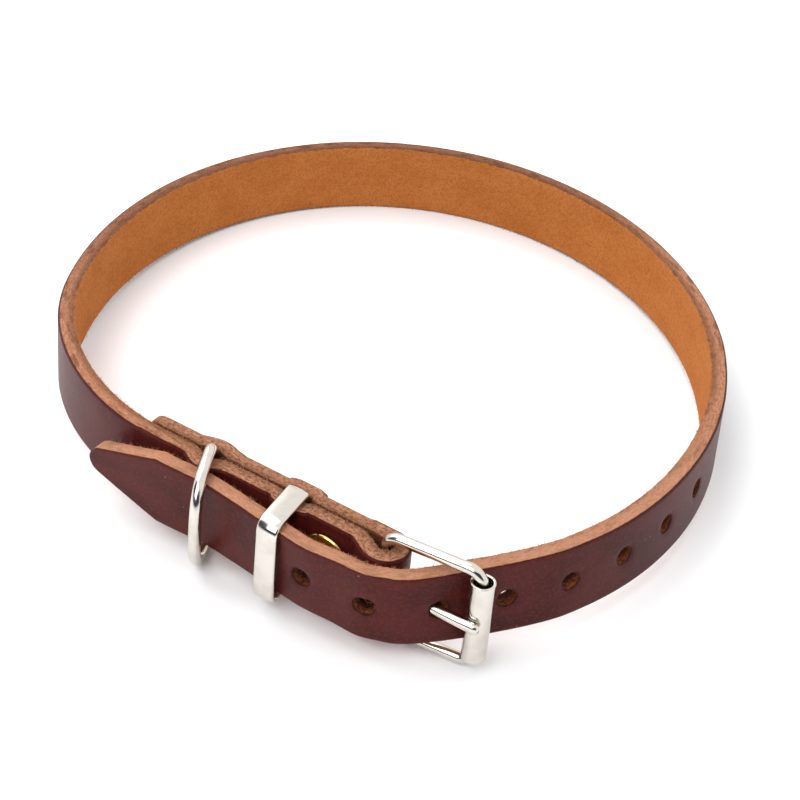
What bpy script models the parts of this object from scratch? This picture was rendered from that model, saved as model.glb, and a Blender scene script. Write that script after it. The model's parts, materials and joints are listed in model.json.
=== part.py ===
# Leather dog collar, fastened and standing on its lower edge.
# Lengths are in metres, +Z is up and the front is towards -Y.
#
# Everything is laid out in the collar's own plan first: the strap's lower edge is at z = 0.
# The riveted stretch is straight and has its own axes: "along" runs from the heel bar towards
# the strap's folded end, and "out" runs away from the neck. The finished collar is then tipped
# on to the points that it really stands on.

import math

import bmesh
import bpy
import numpy as np
from mathutils import Matrix, Vector
from mathutils.bvhtree import BVHTree

# Strap
STRAP_WIDTH = 0.0160
STRAP_THICKNESS = 0.0035
EDGE_CHAMFER = 0.0004
NECK_WIDTH = 0.1332
NECK_DEPTH = 0.1452
TURN_BACK_LENGTH = 0.0575
TURN_BACK_CORNER = 0.0030
STRAIGHT_LENGTH = 0.0530
POINT_LENGTH = 0.0165
NOSE_RADIUS = 0.0032
HOLE_DIAMETER = 0.0040
HOLE_PITCH = 0.0133
HOLE_COUNT = 8
FASTENED_HOLE = 3
TIP_TO_FIRST_HOLE = 0.0530
RIVET_PINCH = 0.00035

# Fits
PLY_GAP = 0.0003
CLEARANCE = 0.0003

# Roller buckle
FRAME_WIRE = 0.0023
FRAME_SIDE_ROOM = 0.0020
FRAME_REACH = 0.0200
FRAME_CORNER = 0.0030
FRAME_DROP = 0.0007
FRAME_YAW = math.radians(6.0)
HEEL_OUT = 0.0013
ROLLER_DIAMETER = 0.0048
ROLLER_WALL = 0.00055
ROLLER_END_GAP = 0.00065
ROLLER_NOTCH_DEPTH = 0.0008
TONGUE_WIRE = 0.0023
TONGUE_DROP = 0.0003
TONGUE_OVERHANG = 0.0018
TONGUE_STRAIGHT_SHARE = 0.5
STRAP_ANGLE_AT_ROLLER = math.radians(52.0)
SLOT_REACH = 0.0050

# D-ring
RING_WIRE = 0.0024
RING_SIDE_ROOM = 0.0015
RING_DEPTH = 0.0140
RING_ARM = 0.0045
RING_FULLNESS = 2.8
RING_OUT = 0.0004
RING_DROP = 0.0006
RING_SEAT_REACH = 0.0045
RING_SWING = math.radians(25.0)

# Keeper
KEEPER_BAND = 0.0048
KEEPER_THICKNESS = 0.0012
KEEPER_SIDE_ROOM = 0.0008
KEEPER_FRONT_BEND = 0.0030
KEEPER_BACK_BEND = 0.0012
KEEPER_DROP = 0.0001
KEEPER_SEAT_REACH = 0.0014

# Rivets, and how far the hardware stands apart from the heel bar towards the folded end
HEEL_TO_FIRST_RIVET = 0.0116
SECOND_RIVET_TO_RING = 0.0110
RING_TO_THIRD_RIVET = 0.0100
RIVET_CAP_DIAMETER = 0.0096
RIVET_CAP_HEIGHT = 0.0012
RIVET_CAP_RIM = 0.0004
RIVET_POST = 0.0030

# Where the heel bar stands, as shares of the half width and half depth of the neck loop
HEEL_SHARE = (0.053, -0.896)
FLAP_ANGLE = math.radians(150.0)

# Angles round the neck oval between which the strap follows it, from the left to the right front
OVAL_START = math.radians(178.0)
OVAL_END = math.radians(-60.0)

# The strap's free end wraps round the outside of the fold, then lies over the rivets.
# Wrap rows: angle at the heel bar from the along axis, slack as a share of the thickness
WRAP_ROWS = (
    (math.radians(147.0), 0.58),
    (math.radians(121.0), 0.24),
    (math.radians(97.0), 0.27),
)
# Lift rows: distance along as a share of the last rivet's station, and the lift of the free
# end above the rivet caps as a share of the thickness
LIFT_ROWS = (
    (0.10, 0.64),
    (0.23, 0.76),
    (0.40, 0.46),
    (0.574, 0.12),
    (0.72, -0.09),
    (0.86, -0.01),
    (1.00, 0.01),
    (1.30, -0.08),
)
# Lean rows: distance towards the tip from the roller as a share of the frame's reach, and how
# far the strap's upper edge leans away from the neck
LEAN_ROWS = (
    (-5.00, math.radians(0.0)),
    (-2.60, math.radians(-4.0)),
    (-0.90, math.radians(-4.5)),
    (0.00, math.radians(-3.5)),
    (0.50, math.radians(-1.0)),
    (0.90, math.radians(1.5)),
    (1.60, math.radians(5.0)),
    (2.30, math.radians(4.5)),
    (3.20, math.radians(3.0)),
    (4.20, math.radians(2.0)),
)

# Mesh fineness
FACET_SAG = 0.00003
LONGEST_FACET = 0.0042
SEATED_FACET = 0.0011
SHORTEST_FACET = 0.0006
PLY_SAMPLE = 0.0006
HOLE_SIDES = 16
TURNED_SIDES = 24
WIRE_BEVEL_RESOLUTION = 3
CUT_MARGIN = 0.001

LEATHER_DENSITY = 950.0
STEEL_DENSITY = 7850.0

FRAME_INNER_WIDTH = STRAP_WIDTH + 2 * FRAME_SIDE_ROOM
ROLLER_LENGTH = FRAME_INNER_WIDTH - 2 * ROLLER_END_GAP
RING_INNER_HEIGHT = STRAP_WIDTH + 2 * RING_SIDE_ROOM
KEEPER_INNER_HEIGHT = STRAP_WIDTH + 2 * KEEPER_SIDE_ROOM
CAP_TO_KEEPER = RIVET_CAP_DIAMETER / 2 + 2 * CLEARANCE + KEEPER_SEAT_REACH + KEEPER_BAND / 2
FOLD_REACH = HEEL_TO_FIRST_RIVET - RIVET_CAP_DIAMETER / 2 - CLEARANCE
KEEPER_STATION = HEEL_TO_FIRST_RIVET + CAP_TO_KEEPER
SECOND_RIVET = KEEPER_STATION + CAP_TO_KEEPER
RING_STATION = SECOND_RIVET + SECOND_RIVET_TO_RING
RIVET_STATIONS = (HEEL_TO_FIRST_RIVET, SECOND_RIVET, RING_STATION + RING_TO_THIRD_RIVET)
MID_HEIGHT = STRAP_WIDTH / 2
HALF_THICKNESS = STRAP_THICKNESS / 2
FOLD_RADIUS = FRAME_WIRE / 2 + CLEARANCE + HALF_THICKNESS
PLY_OFFSET = PLY_GAP / 2 + HALF_THICKNESS
RIVET_FACE = PLY_GAP / 2 + STRAP_THICKNESS - RIVET_PINCH + CLEARANCE
OVAL_HALF_WIDTH = NECK_WIDTH / 2 + HALF_THICKNESS
OVAL_HALF_DEPTH = NECK_DEPTH / 2 + HALF_THICKNESS

ALONG = np.array([math.cos(FLAP_ANGLE), math.sin(FLAP_ANGLE)])
OUT = np.array([-ALONG[1], ALONG[0]])
HEEL = np.array([HEEL_SHARE[0] * OVAL_HALF_WIDTH, HEEL_SHARE[1] * OVAL_HALF_DEPTH])


def flap_point(along, out):
    return HEEL + along * ALONG + out * OUT


def rise(distance, reach):
    # A smooth bump: 1 at its middle, 0 from its reach outward
    share = min(abs(distance) / reach, 1.0)
    return 0.5 * (1.0 + math.cos(math.pi * share))


def seat(along, station, half_width, reach):
    # 1 within the half width of a station, falling to 0 over the reach on both sides
    return rise(max(abs(along - station) - half_width, 0.0), reach)


def ply_lift(along, side):
    # Side is 1 for the main ply and -1 for the turned-back ply
    ring = RING_WIRE / 2 + side * RING_OUT + CLEARANCE - PLY_GAP / 2
    keeper = KEEPER_THICKNESS / 2 + CLEARANCE - PLY_GAP / 2
    ring *= seat(along, RING_STATION, 0.0, RING_SEAT_REACH)
    keeper *= seat(along, KEEPER_STATION, KEEPER_BAND / 2 + CLEARANCE, KEEPER_SEAT_REACH)
    return ring + keeper


def oval_point(angle):
    return np.array([OVAL_HALF_WIDTH * math.cos(angle), OVAL_HALF_DEPTH * math.sin(angle)])


def oval_heading(angle):
    # The strap runs round the neck clockwise, seen from above
    heading = np.array([OVAL_HALF_WIDTH * math.sin(angle), -OVAL_HALF_DEPTH * math.cos(angle)])
    return heading / np.linalg.norm(heading)


def blend_points(start, start_heading, end, end_heading, count):
    # A cubic from one point and heading to another, without its two ends
    chord = np.linalg.norm(end - start)
    points = []
    for share in np.linspace(0.0, 1.0, count + 2)[1:-1]:
        square = share * share
        cube = square * share
        points.append(
            (2 * cube - 3 * square + 1) * start
            + (cube - 2 * square + share) * chord * start_heading
            + (3 * square - 2 * cube) * end
            + (cube - square) * chord * end_heading
        )
    return points


def turn_back_points():
    count = round(TURN_BACK_LENGTH / PLY_SAMPLE)
    points = []
    for along in np.linspace(TURN_BACK_LENGTH, 0.0, count + 1)[:-1]:
        points.append(flap_point(along, -PLY_OFFSET - ply_lift(along, -1)))
    return points


def fold_points():
    points = []
    for degrees in range(-90, -271, -15):
        angle = math.radians(degrees)
        out = HEEL_OUT + FOLD_RADIUS * math.sin(angle)
        points.append(flap_point(FOLD_RADIUS * math.cos(angle), out))
    return points


def main_ply_points():
    fold_top = HEEL_OUT + FOLD_RADIUS - PLY_OFFSET
    count = round(STRAIGHT_LENGTH / PLY_SAMPLE)
    points = []
    for along in np.linspace(0.0, STRAIGHT_LENGTH, count + 1)[1:]:
        lift = ply_lift(along, 1) + fold_top * rise(along, FOLD_REACH)
        points.append(flap_point(along, PLY_OFFSET + lift))
    return points


def oval_points():
    count = 40
    return [oval_point(angle) for angle in np.linspace(OVAL_START, OVAL_END, count)]


def lean_slope(distance, roller_distance):
    # Distance out for each step up, of a strap that leans
    shares, leans = zip(*LEAN_ROWS)
    return math.tan(np.interp((distance - roller_distance) / FRAME_REACH, shares, leans))


def roller_centre():
    along = -FRAME_REACH * math.cos(FRAME_YAW)
    out = HEEL_OUT - FRAME_REACH * math.sin(FRAME_YAW)
    return along, out


def free_end_points():
    # Beside the roller, round the fold, and over the rivets to past the tip
    along, out = roller_centre()
    room = CLEARANCE + MID_HEIGHT * abs(lean_slope(0.0, 0.0))
    stand_off = ROLLER_DIAMETER / 2 + room + HALF_THICKNESS
    beside = flap_point(
        along + stand_off * math.sin(STRAP_ANGLE_AT_ROLLER),
        out - stand_off * math.cos(STRAP_ANGLE_AT_ROLLER),
    )
    points = [beside]
    for angle, slack in WRAP_ROWS:
        radius = FOLD_RADIUS + STRAP_THICKNESS + slack * STRAP_THICKNESS
        points.append(flap_point(radius * math.cos(angle), HEEL_OUT + radius * math.sin(angle)))
    over_caps = RIVET_FACE + RIVET_CAP_HEIGHT + CLEARANCE + HALF_THICKNESS
    for share, lift in LIFT_ROWS:
        points.append(flap_point(share * RIVET_STATIONS[-1], over_caps + lift * STRAP_THICKNESS))
    points.append(2 * points[-1] - points[-2])
    return points


def smooth_line(points, samples=8):
    # A centripetal spline through all the points
    points = np.array(points)
    padded = np.vstack([2 * points[0] - points[1], points, 2 * points[-1] - points[-2]])
    line = []
    for first, second, third, fourth in zip(padded, padded[1:], padded[2:], padded[3:]):
        knots = [0.0]
        for before, after in ((first, second), (second, third), (third, fourth)):
            knots.append(knots[-1] + math.sqrt(np.linalg.norm(after - before)))
        for knot in np.linspace(knots[1], knots[2], samples, endpoint=False):
            near = [
                (knots[i + 1] - knot) * before + (knot - knots[i]) * after
                for i, (before, after) in enumerate(((first, second), (second, third), (third, fourth)))
            ]
            near = [value / (knots[i + 1] - knots[i]) for i, value in enumerate(near)]
            wide = [
                ((knots[i + 2] - knot) * near[i] + (knot - knots[i]) * near[i + 1]) / (knots[i + 2] - knots[i])
                for i in range(2)
            ]
            line.append(((knots[2] - knot) * wide[0] + (knot - knots[1]) * wide[1]) / (knots[2] - knots[1]))
    line.append(points[-1])
    return np.array(line)


class Route:
    # The middle of the strap's thickness in plan, by distance from the folded end

    def __init__(self, points):
        self.line = smooth_line(points)
        steps = np.linalg.norm(np.diff(self.line, axis=0), axis=1)
        self.distance = np.concatenate([[0.0], np.cumsum(steps)])
        headings = np.gradient(self.line, self.distance, axis=0)
        self.headings = headings / np.linalg.norm(headings, axis=1)[:, None]

    def length(self):
        return self.distance[-1]

    def point(self, distance):
        return np.array([np.interp(distance, self.distance, self.line[:, i]) for i in range(2)])

    def heading(self, distance):
        value = np.array([np.interp(distance, self.distance, self.headings[:, i]) for i in range(2)])
        return value / np.linalg.norm(value)

    def normal(self, distance):
        # Towards the grain side of the leather
        heading = self.heading(distance)
        return np.array([-heading[1], heading[0]])

    def nearest(self, point, start=0.0):
        gaps = np.linalg.norm(self.line - point, axis=1)
        gaps[self.distance < start] = np.inf
        return self.distance[np.argmin(gaps)]

    def stations(self, end):
        # Close together where the strap bends hard, far apart where it doesn't
        found = []
        at = SHORTEST_FACET
        while at < end:
            found.append(at)
            ahead = self.heading(at + SHORTEST_FACET)
            behind = self.heading(at - SHORTEST_FACET)
            bend = np.linalg.norm(ahead - behind) / (2 * SHORTEST_FACET)
            step = math.sqrt(8 * FACET_SAG / max(bend, 1.0))
            longest = SEATED_FACET if at < TURN_BACK_LENGTH + STRAIGHT_LENGTH else LONGEST_FACET
            at += min(max(step, SHORTEST_FACET), longest)
        return found


def link(obj, collection, material=None):
    for other in obj.users_collection:
        other.objects.unlink(obj)
    collection.objects.link(obj)
    if material:
        obj.data.materials.clear()
        obj.data.materials.append(material)
    return obj


def mesh_object(name, bm, collection, material=None):
    bmesh.ops.recalc_face_normals(bm, faces=bm.faces)
    mesh = bpy.data.meshes.new(name)
    bm.to_mesh(mesh)
    bm.free()
    return link(bpy.data.objects.new(name, mesh), collection, material)


def as_mesh(obj, collection, material=None):
    # The evaluated shape of a curve as a mesh object of the same name
    graph = bpy.context.evaluated_depsgraph_get()
    mesh = bpy.data.meshes.new_from_object(obj.evaluated_get(graph))
    bm = bmesh.new()
    bm.from_mesh(mesh)
    bmesh.ops.remove_doubles(bm, verts=bm.verts, dist=1e-6)
    name, matrix = obj.name, obj.matrix_world.copy()
    bpy.data.meshes.remove(mesh)
    bpy.data.objects.remove(obj)
    made = mesh_object(name, bm, collection, material)
    made.matrix_world = matrix
    return made


def wire(name, points, diameter, collection, material, cyclic=True, radii=None):
    curve = bpy.data.curves.new(name, "CURVE")
    curve.dimensions = "3D"
    curve.bevel_depth = diameter / 2
    curve.bevel_resolution = WIRE_BEVEL_RESOLUTION
    curve.use_fill_caps = True
    spline = curve.splines.new("POLY")
    spline.points.add(len(points) - 1)
    for i, (point, place) in enumerate(zip(spline.points, points)):
        point.co = (*place, 1.0)
        point.radius = radii[i] if radii else 1.0
    spline.use_cyclic_u = cyclic
    return link(bpy.data.objects.new(name, curve), collection, material)


def flap_matrix(along, out, height, turn=0.0):
    # Local X along the flap, local Y out of it, local Z up, turned about Z
    place = flap_point(along, out)
    axes = Matrix.Rotation(FLAP_ANGLE + turn, 4, "Z")
    return Matrix.Translation((*place, height)) @ axes


def rod(name, matrix, radius, depth, collection, sides=HOLE_SIDES):
    # A cylinder along local Y, centred on the matrix
    bm = bmesh.new()
    bmesh.ops.create_cone(bm, cap_ends=True, segments=sides, radius1=radius, radius2=radius, depth=depth)
    bmesh.ops.rotate(bm, verts=bm.verts, matrix=Matrix.Rotation(math.pi / 2, 3, "X"))
    made = mesh_object(name, bm, collection)
    made.matrix_world = matrix
    return made


def arc(centre, radius, start, end, steps):
    angles = np.linspace(math.radians(start), math.radians(end), steps + 1)
    return [(centre[0] + radius * math.cos(a), centre[1] + radius * math.sin(a)) for a in angles]


def rounded_box(left, right, low, high, left_radius, right_radius, steps):
    outline = arc((right - right_radius, low + right_radius), right_radius, -90, 0, steps)
    outline += arc((right - right_radius, high - right_radius), right_radius, 0, 90, steps)
    outline += arc((left + left_radius, high - left_radius), left_radius, 90, 180, steps)
    outline += arc((left + left_radius, low + left_radius), left_radius, 180, 270, steps)
    return outline


def trim(bm, place, direction):
    # Cuts off all that lies beyond a plane and closes the cut
    geometry = bm.verts[:] + bm.edges[:] + bm.faces[:]
    cut = bmesh.ops.bisect_plane(bm, geom=geometry, plane_co=place, plane_no=direction, clear_outer=True)
    edges = [item for item in cut["geom_cut"] if isinstance(item, bmesh.types.BMEdge)]
    if edges:
        bmesh.ops.contextual_create(bm, geom=edges)


def round_trims(centre, radius, start, end, steps):
    # Planes that touch an arc, so that trimming by them rounds a corner
    found = []
    for degrees in np.linspace(start, end, steps):
        angle = math.radians(degrees)
        direction = Vector((math.cos(angle), math.sin(angle), 0.0))
        found.append((Vector((*centre, 0.0)) + direction * radius, direction))
    return found


def end_trims(length):
    # The rounded corners of the folded end, and the point with its blunt nose
    trims = []
    for side in (-1, 1):
        corner = (TURN_BACK_CORNER, side * (STRAP_WIDTH / 2 - TURN_BACK_CORNER))
        trims += round_trims(corner, TURN_BACK_CORNER, side * 165, side * 105, 3)
    nose = (length - NOSE_RADIUS, 0.0)
    taper = (POINT_LENGTH - NOSE_RADIUS, STRAP_WIDTH / 2)
    slope = math.degrees(math.atan2(*taper) + math.asin(NOSE_RADIUS / math.hypot(*taper)))
    for side in (-1, 1):
        trims += round_trims(nose, NOSE_RADIUS, side * 12, side * slope, 4)
    return trims


def strap(route, length, roller_distance, collection, cutters, material):
    # A flat blank, trimmed at its ends, creased at each station and bent along the route
    bm = bmesh.new()
    bmesh.ops.create_cube(bm, size=1.0)
    bmesh.ops.scale(bm, verts=bm.verts, vec=(length, STRAP_WIDTH, STRAP_THICKNESS))
    bmesh.ops.translate(bm, verts=bm.verts, vec=(length / 2, 0.0, 0.0))
    long_edges = [e for e in bm.edges if abs(e.verts[0].co.x - e.verts[1].co.x) > length / 2]
    bmesh.ops.bevel(bm, geom=long_edges, offset=EDGE_CHAMFER, segments=1, affect="EDGES")
    for place, direction in end_trims(length):
        trim(bm, place, direction)
    for station in route.stations(length):
        geometry = bm.verts[:] + bm.edges[:] + bm.faces[:]
        bmesh.ops.bisect_plane(bm, geom=geometry, plane_co=(station, 0, 0), plane_no=(1, 0, 0))
    rivet_distances = []
    for along in RIVET_STATIONS:
        rivet_distances.append(route.nearest(flap_point(along, -PLY_OFFSET)))
        rivet_distances.append(route.nearest(flap_point(along, PLY_OFFSET), TURN_BACK_LENGTH))
    for vert in bm.verts:
        distance, across, height = vert.co
        if height > 0:
            cap = RIVET_CAP_DIAMETER / 2 + CLEARANCE
            squeeze = [seat(distance, place, cap, KEEPER_SEAT_REACH) for place in rivet_distances]
            height -= RIVET_PINCH * max(squeeze)
        height += across * lean_slope(distance, roller_distance)
        point = route.point(distance) + height * route.normal(distance)
        vert.co = (*point, MID_HEIGHT + across)
    made = mesh_object("strap", bm, collection, material)
    cut = made.modifiers.new("holes", "BOOLEAN")
    cut.operation = "DIFFERENCE"
    cut.solver = "EXACT"
    cut.operand_type = "COLLECTION"
    cut.collection = cutters
    return made


def hole_matrix(route, distance):
    point, heading = route.point(distance), route.heading(distance)
    turn = math.atan2(heading[1], heading[0])
    return Matrix.Translation((*point, MID_HEIGHT)) @ Matrix.Rotation(turn, 4, "Z")


def strap_cutters(route, fastened, cutters):
    depth = STRAP_THICKNESS + 2 * CUT_MARGIN
    for i in range(HOLE_COUNT):
        if i == FASTENED_HOLE - 1:
            continue
        distance = fastened + (FASTENED_HOLE - 1 - i) * HOLE_PITCH
        rod(f"hole_{i + 1}_cutter", hole_matrix(route, distance), HOLE_DIAMETER / 2, depth, cutters)
    # The hole in use is drawn out by the tongue, which crosses the leather at a slant
    along = float((route.point(tongue_crossing(route, 0.0)) - HEEL) @ ALONG)
    slant = rod(
        "tongue_hole_cutter",
        flap_matrix(along, tongue_rest()[1], MID_HEIGHT) @ Matrix.Rotation(math.pi / 2, 4, "Z"),
        HOLE_DIAMETER / 2,
        3 * STRAP_THICKNESS,
        cutters,
        TURNED_SIDES,
    )
    slant.scale = ((TONGUE_WIRE + 4 * CLEARANCE) / HOLE_DIAMETER, 1.0, 1.0)
    stack = 2 * STRAP_THICKNESS + PLY_GAP + 2 * CUT_MARGIN
    for i, station in enumerate(RIVET_STATIONS):
        hole = RIVET_POST / 2 + CLEARANCE
        rod(f"rivet_{i + 1}_cutter", flap_matrix(station, 0.0, MID_HEIGHT), hole, stack, cutters)
    # The slot in the fold that lets the tongue swing round the heel bar
    slot = 2 * (TONGUE_WIRE / 2 + CLEARANCE)
    reach = FOLD_RADIUS + HALF_THICKNESS
    low = min(HEEL_OUT - FOLD_RADIUS, -PLY_OFFSET) - HALF_THICKNESS - CLEARANCE
    high = HEEL_OUT + reach + CLEARANCE / 2
    bm = bmesh.new()
    bmesh.ops.create_cube(bm, size=1.0)
    bmesh.ops.scale(bm, verts=bm.verts, vec=(reach + CUT_MARGIN + SLOT_REACH, high - low, slot))
    centre = ((SLOT_REACH - reach - CUT_MARGIN) / 2, (high + low) / 2, 0.0)
    bmesh.ops.translate(bm, verts=bm.verts, vec=centre)
    made = mesh_object("slot_cutter", bm, cutters)
    made.matrix_world = flap_matrix(0.0, 0.0, MID_HEIGHT - TONGUE_DROP)


def tongue_rest():
    # Where the tongue's middle line lies over the roller
    along, out = roller_centre()
    stand_off = ROLLER_DIAMETER / 2 + TONGUE_WIRE / 2 + CLEARANCE - ROLLER_NOTCH_DEPTH
    return along, out + stand_off


def tongue_crossing(route, depth):
    # The distance at which the tongue passes a depth of the strap, from its middle outward
    level = tongue_rest()[1]
    steps = np.arange(route.length() / 2, route.length(), SHORTEST_FACET / 4)
    for distance in steps:
        point = route.point(distance) + depth * route.normal(distance) - HEEL
        if point @ OUT > level and abs(point @ ALONG) < FRAME_REACH:
            return distance


def buckle_frame(collection, material):
    half = (FRAME_INNER_WIDTH + FRAME_WIRE) / 2
    outline = rounded_box(-FRAME_REACH, 0.0, -half, half, FRAME_CORNER, FRAME_CORNER, 5)
    made = wire("buckle_frame", [(x, 0.0, z) for x, z in outline], FRAME_WIRE, collection, material)
    made.matrix_world = flap_matrix(0.0, HEEL_OUT, MID_HEIGHT - FRAME_DROP, FRAME_YAW)
    return made


def turned(name, profile, collection, material):
    # A profile of radius and height, top to bottom, spun about local Z
    bm = bmesh.new()
    verts = [bm.verts.new((radius, 0.0, height)) for radius, height in profile]
    closed = profile[0][0] > 0
    pairs = zip(verts, verts[1:] + verts[:1]) if closed else zip(verts, verts[1:])
    for first, second in pairs:
        bm.edges.new((first, second))
    mesh = bpy.data.meshes.new(name)
    bm.to_mesh(mesh)
    bm.free()
    made = link(bpy.data.objects.new(name, mesh), collection, material)
    spin = made.modifiers.new("spin", "SCREW")
    spin.steps = TURNED_SIDES
    spin.render_steps = TURNED_SIDES
    spin.use_merge_vertices = True
    spin.merge_threshold = 1e-6
    return made


def buckle_roller(collection, cutters, material):
    outer = ROLLER_DIAMETER / 2
    inner = outer - ROLLER_WALL
    half = ROLLER_LENGTH / 2
    profile = [(outer, half), (outer, -half), (inner, -half), (inner, half)]
    made = turned("buckle_roller", profile, collection, material)
    along, out = roller_centre()
    made.matrix_world = flap_matrix(along, out, MID_HEIGHT - FRAME_DROP)
    notch_along, notch_out = tongue_rest()
    notch = rod(
        "notch_cutter",
        flap_matrix(notch_along, notch_out, MID_HEIGHT - TONGUE_DROP) @ Matrix.Rotation(math.pi / 2, 4, "Z"),
        TONGUE_WIRE / 2 + CLEARANCE,
        ROLLER_DIAMETER + 2 * CUT_MARGIN,
        cutters,
    )
    cut = made.modifiers.new("notch", "BOOLEAN")
    cut.operation = "DIFFERENCE"
    cut.solver = "EXACT"
    cut.object = notch
    return made


def buckle_tongue(collection, material):
    # An eye round the heel bar, a shaft through the strap, and a bevelled tip on the roller
    eye = FRAME_WIRE / 2 + CLEARANCE + TONGUE_WIRE / 2
    rest_along, rest_out = tongue_rest()
    points = [(x, y + HEEL_OUT) for x, y in arc((0.0, 0.0), eye, -215, 90, 20)]
    middle = (TONGUE_STRAIGHT_SHARE * rest_along, rest_out)
    tip = rest_along - TONGUE_OVERHANG
    points += blend_tongue(points[-1], middle)
    points += [(x, rest_out) for x in np.linspace(middle[0], tip, 8)]
    radii = [1.0] * len(points)
    radii[-1] = 0.6
    places = [(x, y, 0.0) for x, y in points]
    made = wire("buckle_tongue", places, TONGUE_WIRE, collection, material, cyclic=False, radii=radii)
    made.matrix_world = flap_matrix(0.0, 0.0, MID_HEIGHT - TONGUE_DROP)
    return made


def blend_tongue(start, end):
    heading = np.array([-1.0, 0.0])
    points = blend_points(np.array(start), heading, np.array(end), heading, 6)
    return [tuple(point) for point in points]


def d_ring(collection, material):
    half = (RING_INNER_HEIGHT + RING_WIRE) / 2
    corner = RING_WIRE
    outline = arc((corner, -half + corner), corner, 180, 270, 4)
    arc_depth = RING_DEPTH - RING_ARM
    for degrees in range(-90, 91, 12):
        angle = math.radians(degrees)
        depth = max(math.cos(angle), 0.0) ** (2 / RING_FULLNESS)
        height = math.copysign(abs(math.sin(angle)) ** (2 / RING_FULLNESS), angle)
        outline.append((RING_ARM + arc_depth * depth, half * height))
    outline += arc((corner, half - corner), corner, 90, 180, 4)
    places = [(0.0, y, z) for y, z in outline]
    made = wire("d_ring", places, RING_WIRE, collection, material)
    made.matrix_world = flap_matrix(RING_STATION, RING_OUT, MID_HEIGHT - RING_DROP, RING_SWING)
    return made


def keeper_front(route, roller_distance):
    # How far out the free end reaches within the keeper's width, with its lean
    reach = 0.0
    for side in (-1, 0, 1):
        place = flap_point(KEEPER_STATION + side * KEEPER_BAND / 2, 3 * STRAP_THICKNESS)
        distance = route.nearest(place, route.length() / 2)
        outer = route.point(distance) + HALF_THICKNESS * route.normal(distance)
        lean = MID_HEIGHT * abs(lean_slope(distance, roller_distance))
        reach = max(reach, float((outer - HEEL) @ OUT) + lean)
    return reach


def keeper(route, roller_distance, collection, material):
    back = -KEEPER_THICKNESS / 2
    front = keeper_front(route, roller_distance) + CLEARANCE + KEEPER_THICKNESS
    half = KEEPER_INNER_HEIGHT / 2
    wall = KEEPER_THICKNESS
    curve = bpy.data.curves.new("keeper", "CURVE")
    curve.dimensions = "2D"
    curve.fill_mode = "BOTH"
    curve.extrude = KEEPER_BAND / 2
    outer = rounded_box(back, front, -half - wall, half + wall, KEEPER_BACK_BEND, KEEPER_FRONT_BEND, 4)
    inner = rounded_box(
        back + wall,
        front - wall,
        -half,
        half,
        KEEPER_BACK_BEND / 4,
        KEEPER_FRONT_BEND - wall,
        4,
    )
    for outline in (outer, inner):
        spline = curve.splines.new("POLY")
        spline.points.add(len(outline) - 1)
        for point, (x, y) in zip(spline.points, outline):
            point.co = (x, y, 0.0, 1.0)
        spline.use_cyclic_u = True
    made = link(bpy.data.objects.new("keeper", curve), collection)
    # The curve's X runs out, its Y runs up and its Z runs along the flap
    axes = Matrix(((0, 0, 1, 0), (1, 0, 0, 0), (0, 1, 0, 0), (0, 0, 0, 1)))
    made.matrix_world = flap_matrix(KEEPER_STATION, 0.0, MID_HEIGHT - KEEPER_DROP) @ axes
    bpy.context.view_layer.update()
    made = as_mesh(made, collection, material)
    soften = made.modifiers.new("edges", "BEVEL")
    soften.width = KEEPER_THICKNESS / 4
    soften.segments = 1
    soften.limit_method = "ANGLE"
    soften.angle_limit = math.radians(60.0)
    return made


def rivet(number, station, collection, material):
    # Two shallow domed caps on one post through both plies
    cap = RIVET_CAP_DIAMETER / 2
    dome = RIVET_CAP_HEIGHT - RIVET_CAP_RIM
    half = [(0.0, RIVET_FACE + RIVET_CAP_HEIGHT)]
    for degrees in (20, 40, 60, 75):
        angle = math.radians(degrees)
        half.append((cap * math.sin(angle), RIVET_FACE + RIVET_CAP_RIM + dome * math.cos(angle)))
    half += [(cap, RIVET_FACE + RIVET_CAP_RIM), (cap, RIVET_FACE + RIVET_CAP_RIM / 4)]
    half += [(cap - RIVET_CAP_RIM / 2, RIVET_FACE), (RIVET_POST / 2, RIVET_FACE)]
    profile = half + [(radius, -height) for radius, height in reversed(half)]
    made = turned(f"rivet_{number}", profile, collection, material)
    made.matrix_world = flap_matrix(station, 0.0, MID_HEIGHT) @ Matrix.Rotation(-math.pi / 2, 4, "X")
    return made


def metal(name, colour, roughness):
    return finish(name, colour, roughness, 1.0)


def finish(name, colour, roughness, metallic=0.0):
    material = bpy.data.materials.new(name)
    material.use_nodes = True
    shader = material.node_tree.nodes["Principled BSDF"]
    shader.inputs["Base Color"].default_value = (*colour, 1.0)
    shader.inputs["Roughness"].default_value = roughness
    shader.inputs["Metallic"].default_value = metallic
    return material


def shade_round(objects):
    for obj in objects:
        if obj.type == "MESH":
            obj.data.shade_smooth()
            obj.data.set_sharp_from_angle(angle=math.radians(35.0))


def triangles(obj, graph):
    evaluated = obj.evaluated_get(graph)
    mesh = evaluated.to_mesh()
    mesh.calc_loop_triangles()
    points = np.array([evaluated.matrix_world @ v.co for v in mesh.vertices])
    faces = np.array([tri.vertices for tri in mesh.loop_triangles])
    evaluated.to_mesh_clear()
    return points, faces


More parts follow.
